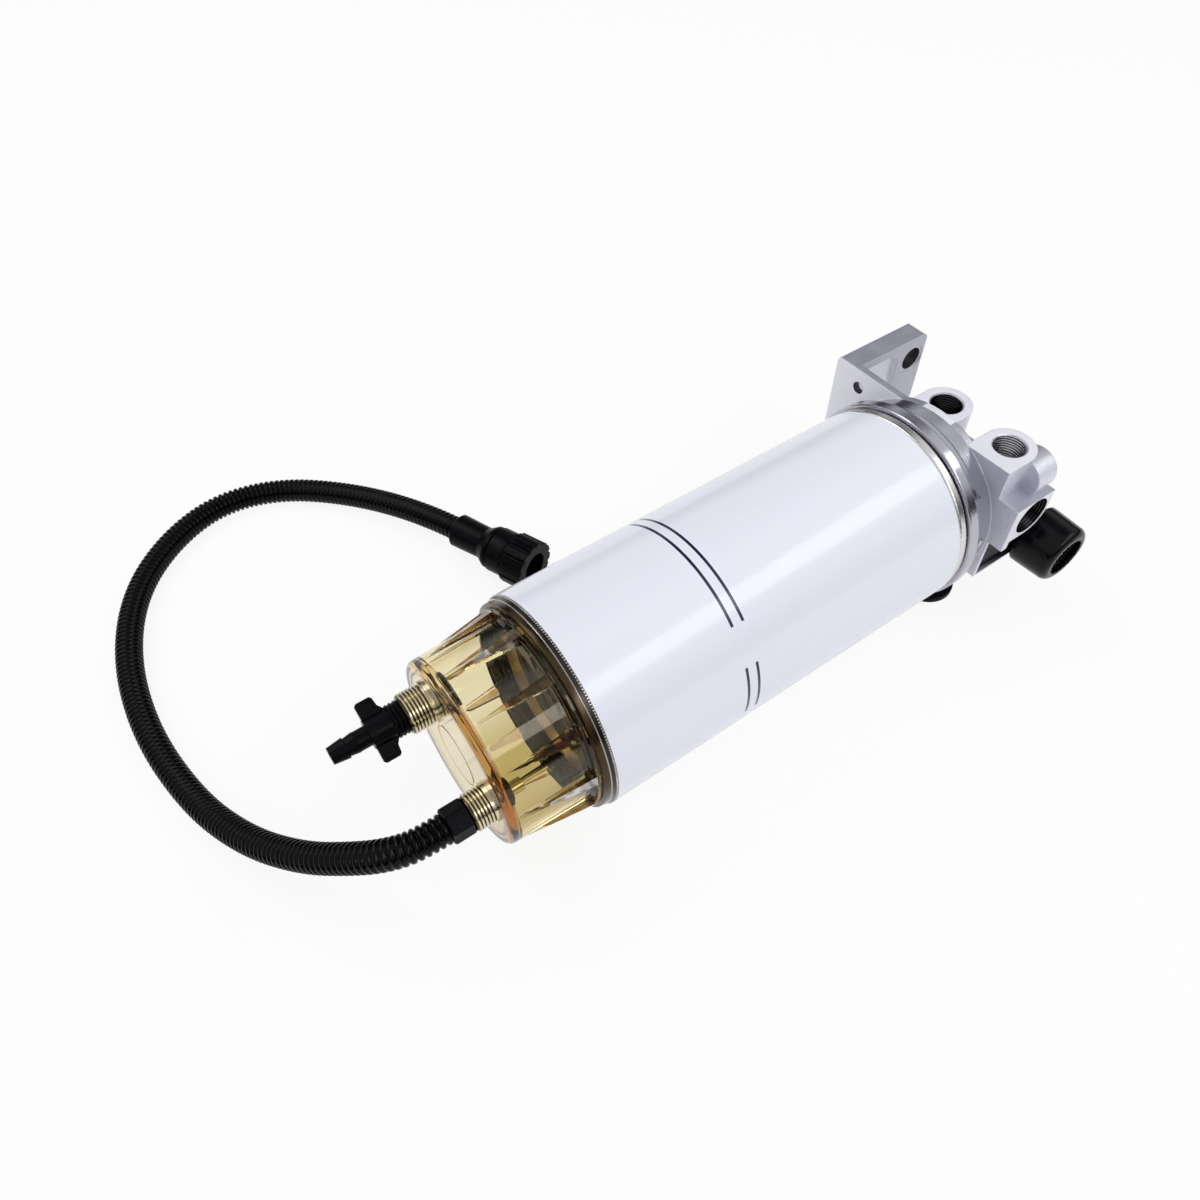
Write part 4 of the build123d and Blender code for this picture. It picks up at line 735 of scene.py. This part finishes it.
# Base ring of the can, with a fine knurl along its crimp: each pair with how far the knurl's teeth stand out
TEETH = 240
TOOTH_SHAPE = ((0.0, 0.0), (0.15, 1.0), (0.5, 1.0), (0.65, 0.0))
RING_START, RING_END = extent("can_base_ring")[:2]
RING_BORE = 46.2
ring_section = [
    (RING_START, RING_BORE, 0.0), (RING_START, 51.9, 0.0), (-5.85, 52.25, 0.0), (-5.5, 52.4, 0.0),
    (-2.7, 52.4, 0.0), (-2.7, 52.85, 0.0), (-2.55, 53.0, 0.0), (KNURL_START, KNURL_FOOT, 0.0),
    (KNURL_START + 0.1, KNURL_FOOT, KNURL_HEIGHT), (-0.1, KNURL_FOOT + 0.05, KNURL_HEIGHT),
    (0.0, KNURL_FOOT, 0.0), (6.0, KNURL_FOOT, 0.0), (6.0, 52.0, 0.0), (1.2, 52.0, 0.0), (1.2, 48.4, 0.0),
    (RING_END, 48.4, 0.0), (RING_END, RING_BORE, 0.0),
]
ring_rows = []
for station, reach, tooth_height in ring_section:
    row = []
    for tooth in range(TEETH):
        for share, proud in TOOTH_SHAPE:
            row.append(about_can(station, reach + tooth_height * proud, 2 * pi * (tooth + share) / TEETH))
    ring_rows.append(row)
base_ring = skin("base_ring_knurled", ring_rows, FINISHES["plated_steel"], closed=True)
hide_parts("can_base_ring")
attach(base_ring, "filter_can")

# Dish under the element, turned smooth, then pierced
DISH_SIDES = 240
DISH_HOLES = 6
HOLE_CIRCLE = 24.0
HOLE_RADIUS = 4.5
HOLE_SIDES = 32
DRILL_ENDS = (3.0, 7.0)
DISH_TOP, DISH_RIM = extent("element_support")[1:]


def hole_ring(station, up, knobward):
    """One end of a drill, round a line along the can's axis."""
    turns = [2 * pi * side / HOLE_SIDES for side in range(HOLE_SIDES)]
    return [at(station, up + HOLE_RADIUS * cos(turn), knobward + HOLE_RADIUS * sin(turn)) for turn in turns]


dish_section = [
    (0.0, 40.0), (0.0, 41.4), (0.18, 41.82), (0.6, 42.0), (10.0, 42.0), (10.0, DISH_RIM),
    (DISH_TOP, DISH_RIM), (DISH_TOP, 40.0), (10.0, 40.0), (5.7, 39.0), (5.7, 10.0), (4.5, 10.0),
    (4.5, 38.6), (4.35, 38.95), (4.0, 39.15),
]
dish_rows = [
    [about_can(station, reach, 2 * pi * side / DISH_SIDES) for side in range(DISH_SIDES)]
    for station, reach in dish_section
]
dish = skin("element_dish", dish_rows, FINISHES["dark_steel"], closed=True)
for hole in range(DISH_HOLES):
    turn = 2 * pi * (hole + 0.5) / DISH_HOLES
    drill_rows = [
        hole_ring(station, HOLE_CIRCLE * cos(turn), HOLE_CIRCLE * sin(turn)) for station in DRILL_ENDS
    ]
    drill = skin("drill", drill_rows, FINISHES["dark_steel"], closed=False)
    cut = dish.modifiers.new("hole", "BOOLEAN")
    cut.operation = "DIFFERENCE"
    cut.object = drill
    bpy.context.view_layer.update()
    pierced = bpy.data.meshes.new_from_object(dish.evaluated_get(bpy.context.evaluated_depsgraph_get()))
    dish.modifiers.clear()
    dish.data = pierced
    bpy.data.objects.remove(drill)
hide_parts("element_support")
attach(dish, "filter_can")

# Floor, white where the camera sees it, with the part's own shadow
FLOOR_HALF = 4.0
GLOW_THROUGH = 0.30
GLOW_MIRRORED = 0.85
GLOW_SHARE = 0.88
ground = Graph("floor_paper")
ground.set(Metallic=0.0, Specular_IOR_Level=0.0, Roughness=1.0, Base_Color=(0.93, 0.93, 0.93, 1.0))
rays = ground.nodes.new("ShaderNodeLightPath").outputs
through = ground.times(rays["Is Transmission Ray"], GLOW_THROUGH)
mirrored = ground.times(rays["Is Glossy Ray"], GLOW_MIRRORED)
seen = ground.most(mirrored, through, rays["Is Camera Ray"])
glow = ground.nodes.new("ShaderNodeEmission")
glow.inputs["Color"].default_value = (1.0, 1.0, 0.995, 1.0)
glow.inputs["Strength"].default_value = 1.0
blend = ground.nodes.new("ShaderNodeMixShader")
ground.links.new(ground.times(seen, GLOW_SHARE), blend.inputs[0])
ground.links.new(ground.shader.outputs[0], blend.inputs[1])
ground.links.new(glow.outputs[0], blend.inputs[2])
ground.links.new(blend.outputs[0], ground.output.inputs["Surface"])
floor_corners = [(FLOOR_HALF * x, FLOOR_HALF * y, 0) for x, y in ((-1, -1), (1, -1), (1, 1), (-1, 1))]
floor = mesh_object("floor", floor_corners, [(0, 1, 2, 3)], ground.material, smooth=False)

# World: white behind the object; as light, pale all round but for a dark patch overhead and a dark horizon
PATCH_DIRECTION = (0.36, 0.52, 0.775)
PATCH_EDGE = (0.86, 0.96)
HORIZON_EDGE = (0.42, 0.18)
PALE = 0.80
DARK = 0.07

world = bpy.data.worlds.new("studio")
bpy.context.scene.world = world
world.use_nodes = True
sky = world.node_tree.nodes
joins = world.node_tree.links
sky.clear()


def sky_node(kind, *sources, **settings):
    """A node of the world with its inputs, linked or given, in their order."""
    node = sky.new(kind)
    for name, value in settings.items():
        setattr(node, name, value)
    for socket, source in zip(node.inputs, sources):
        if hasattr(source, "node"):
            joins.new(source, socket)
        else:
            socket.default_value = source
    return node


direction = sky_node("ShaderNodeTexCoord").outputs["Generated"]
aim = sky_node("ShaderNodeVectorMath", direction, PATCH_DIRECTION, operation="DOT_PRODUCT").outputs["Value"]
patch = sky_node("ShaderNodeMapRange", aim, *PATCH_EDGE, 0.0, 1.0).outputs["Result"]
rise = sky_node("ShaderNodeSeparateXYZ", direction).outputs["Z"]
horizon = sky_node("ShaderNodeMapRange", rise, *HORIZON_EDGE, 0.0, 1.0).outputs["Result"]
shade = sky_node("ShaderNodeMath", patch, horizon, operation="MAXIMUM").outputs[0]
level = sky_node("ShaderNodeMapRange", shade, 0.0, 1.0, PALE, DARK).outputs["Result"]
lit = sky_node("ShaderNodeBackground", (0.98, 0.985, 1.0, 1.0), level).outputs[0]
shown = sky_node("ShaderNodeBackground", (1.0, 1.0, 1.0, 1.0), 1.0).outputs[0]
camera_ray = sky_node("ShaderNodeLightPath").outputs["Is Camera Ray"]
sky_node("ShaderNodeOutputWorld", sky_node("ShaderNodeMixShader", camera_ray, lit, shown).outputs[0])


def softbox(name, place, width, height, power):
    """Rectangular lamp that faces the object."""
    data = bpy.data.lights.new(name, "AREA")
    data.shape = "RECTANGLE"
    data.size = width
    data.size_y = height
    data.energy = power
    lamp = bpy.data.objects.new(name, data)
    bpy.context.scene.collection.objects.link(lamp)
    lamp.location = place
    lamp.rotation_euler = (Vector((0.0, 0.0, 0.05)) - Vector(place)).to_track_quat("-Z", "Y").to_euler()


softbox("key", (-0.5, 0.9, 1.3), 1.0, 0.8, 6.0)
softbox("strip", (0.56, -0.95, 1.22), 1.7, 0.42, 7.5)
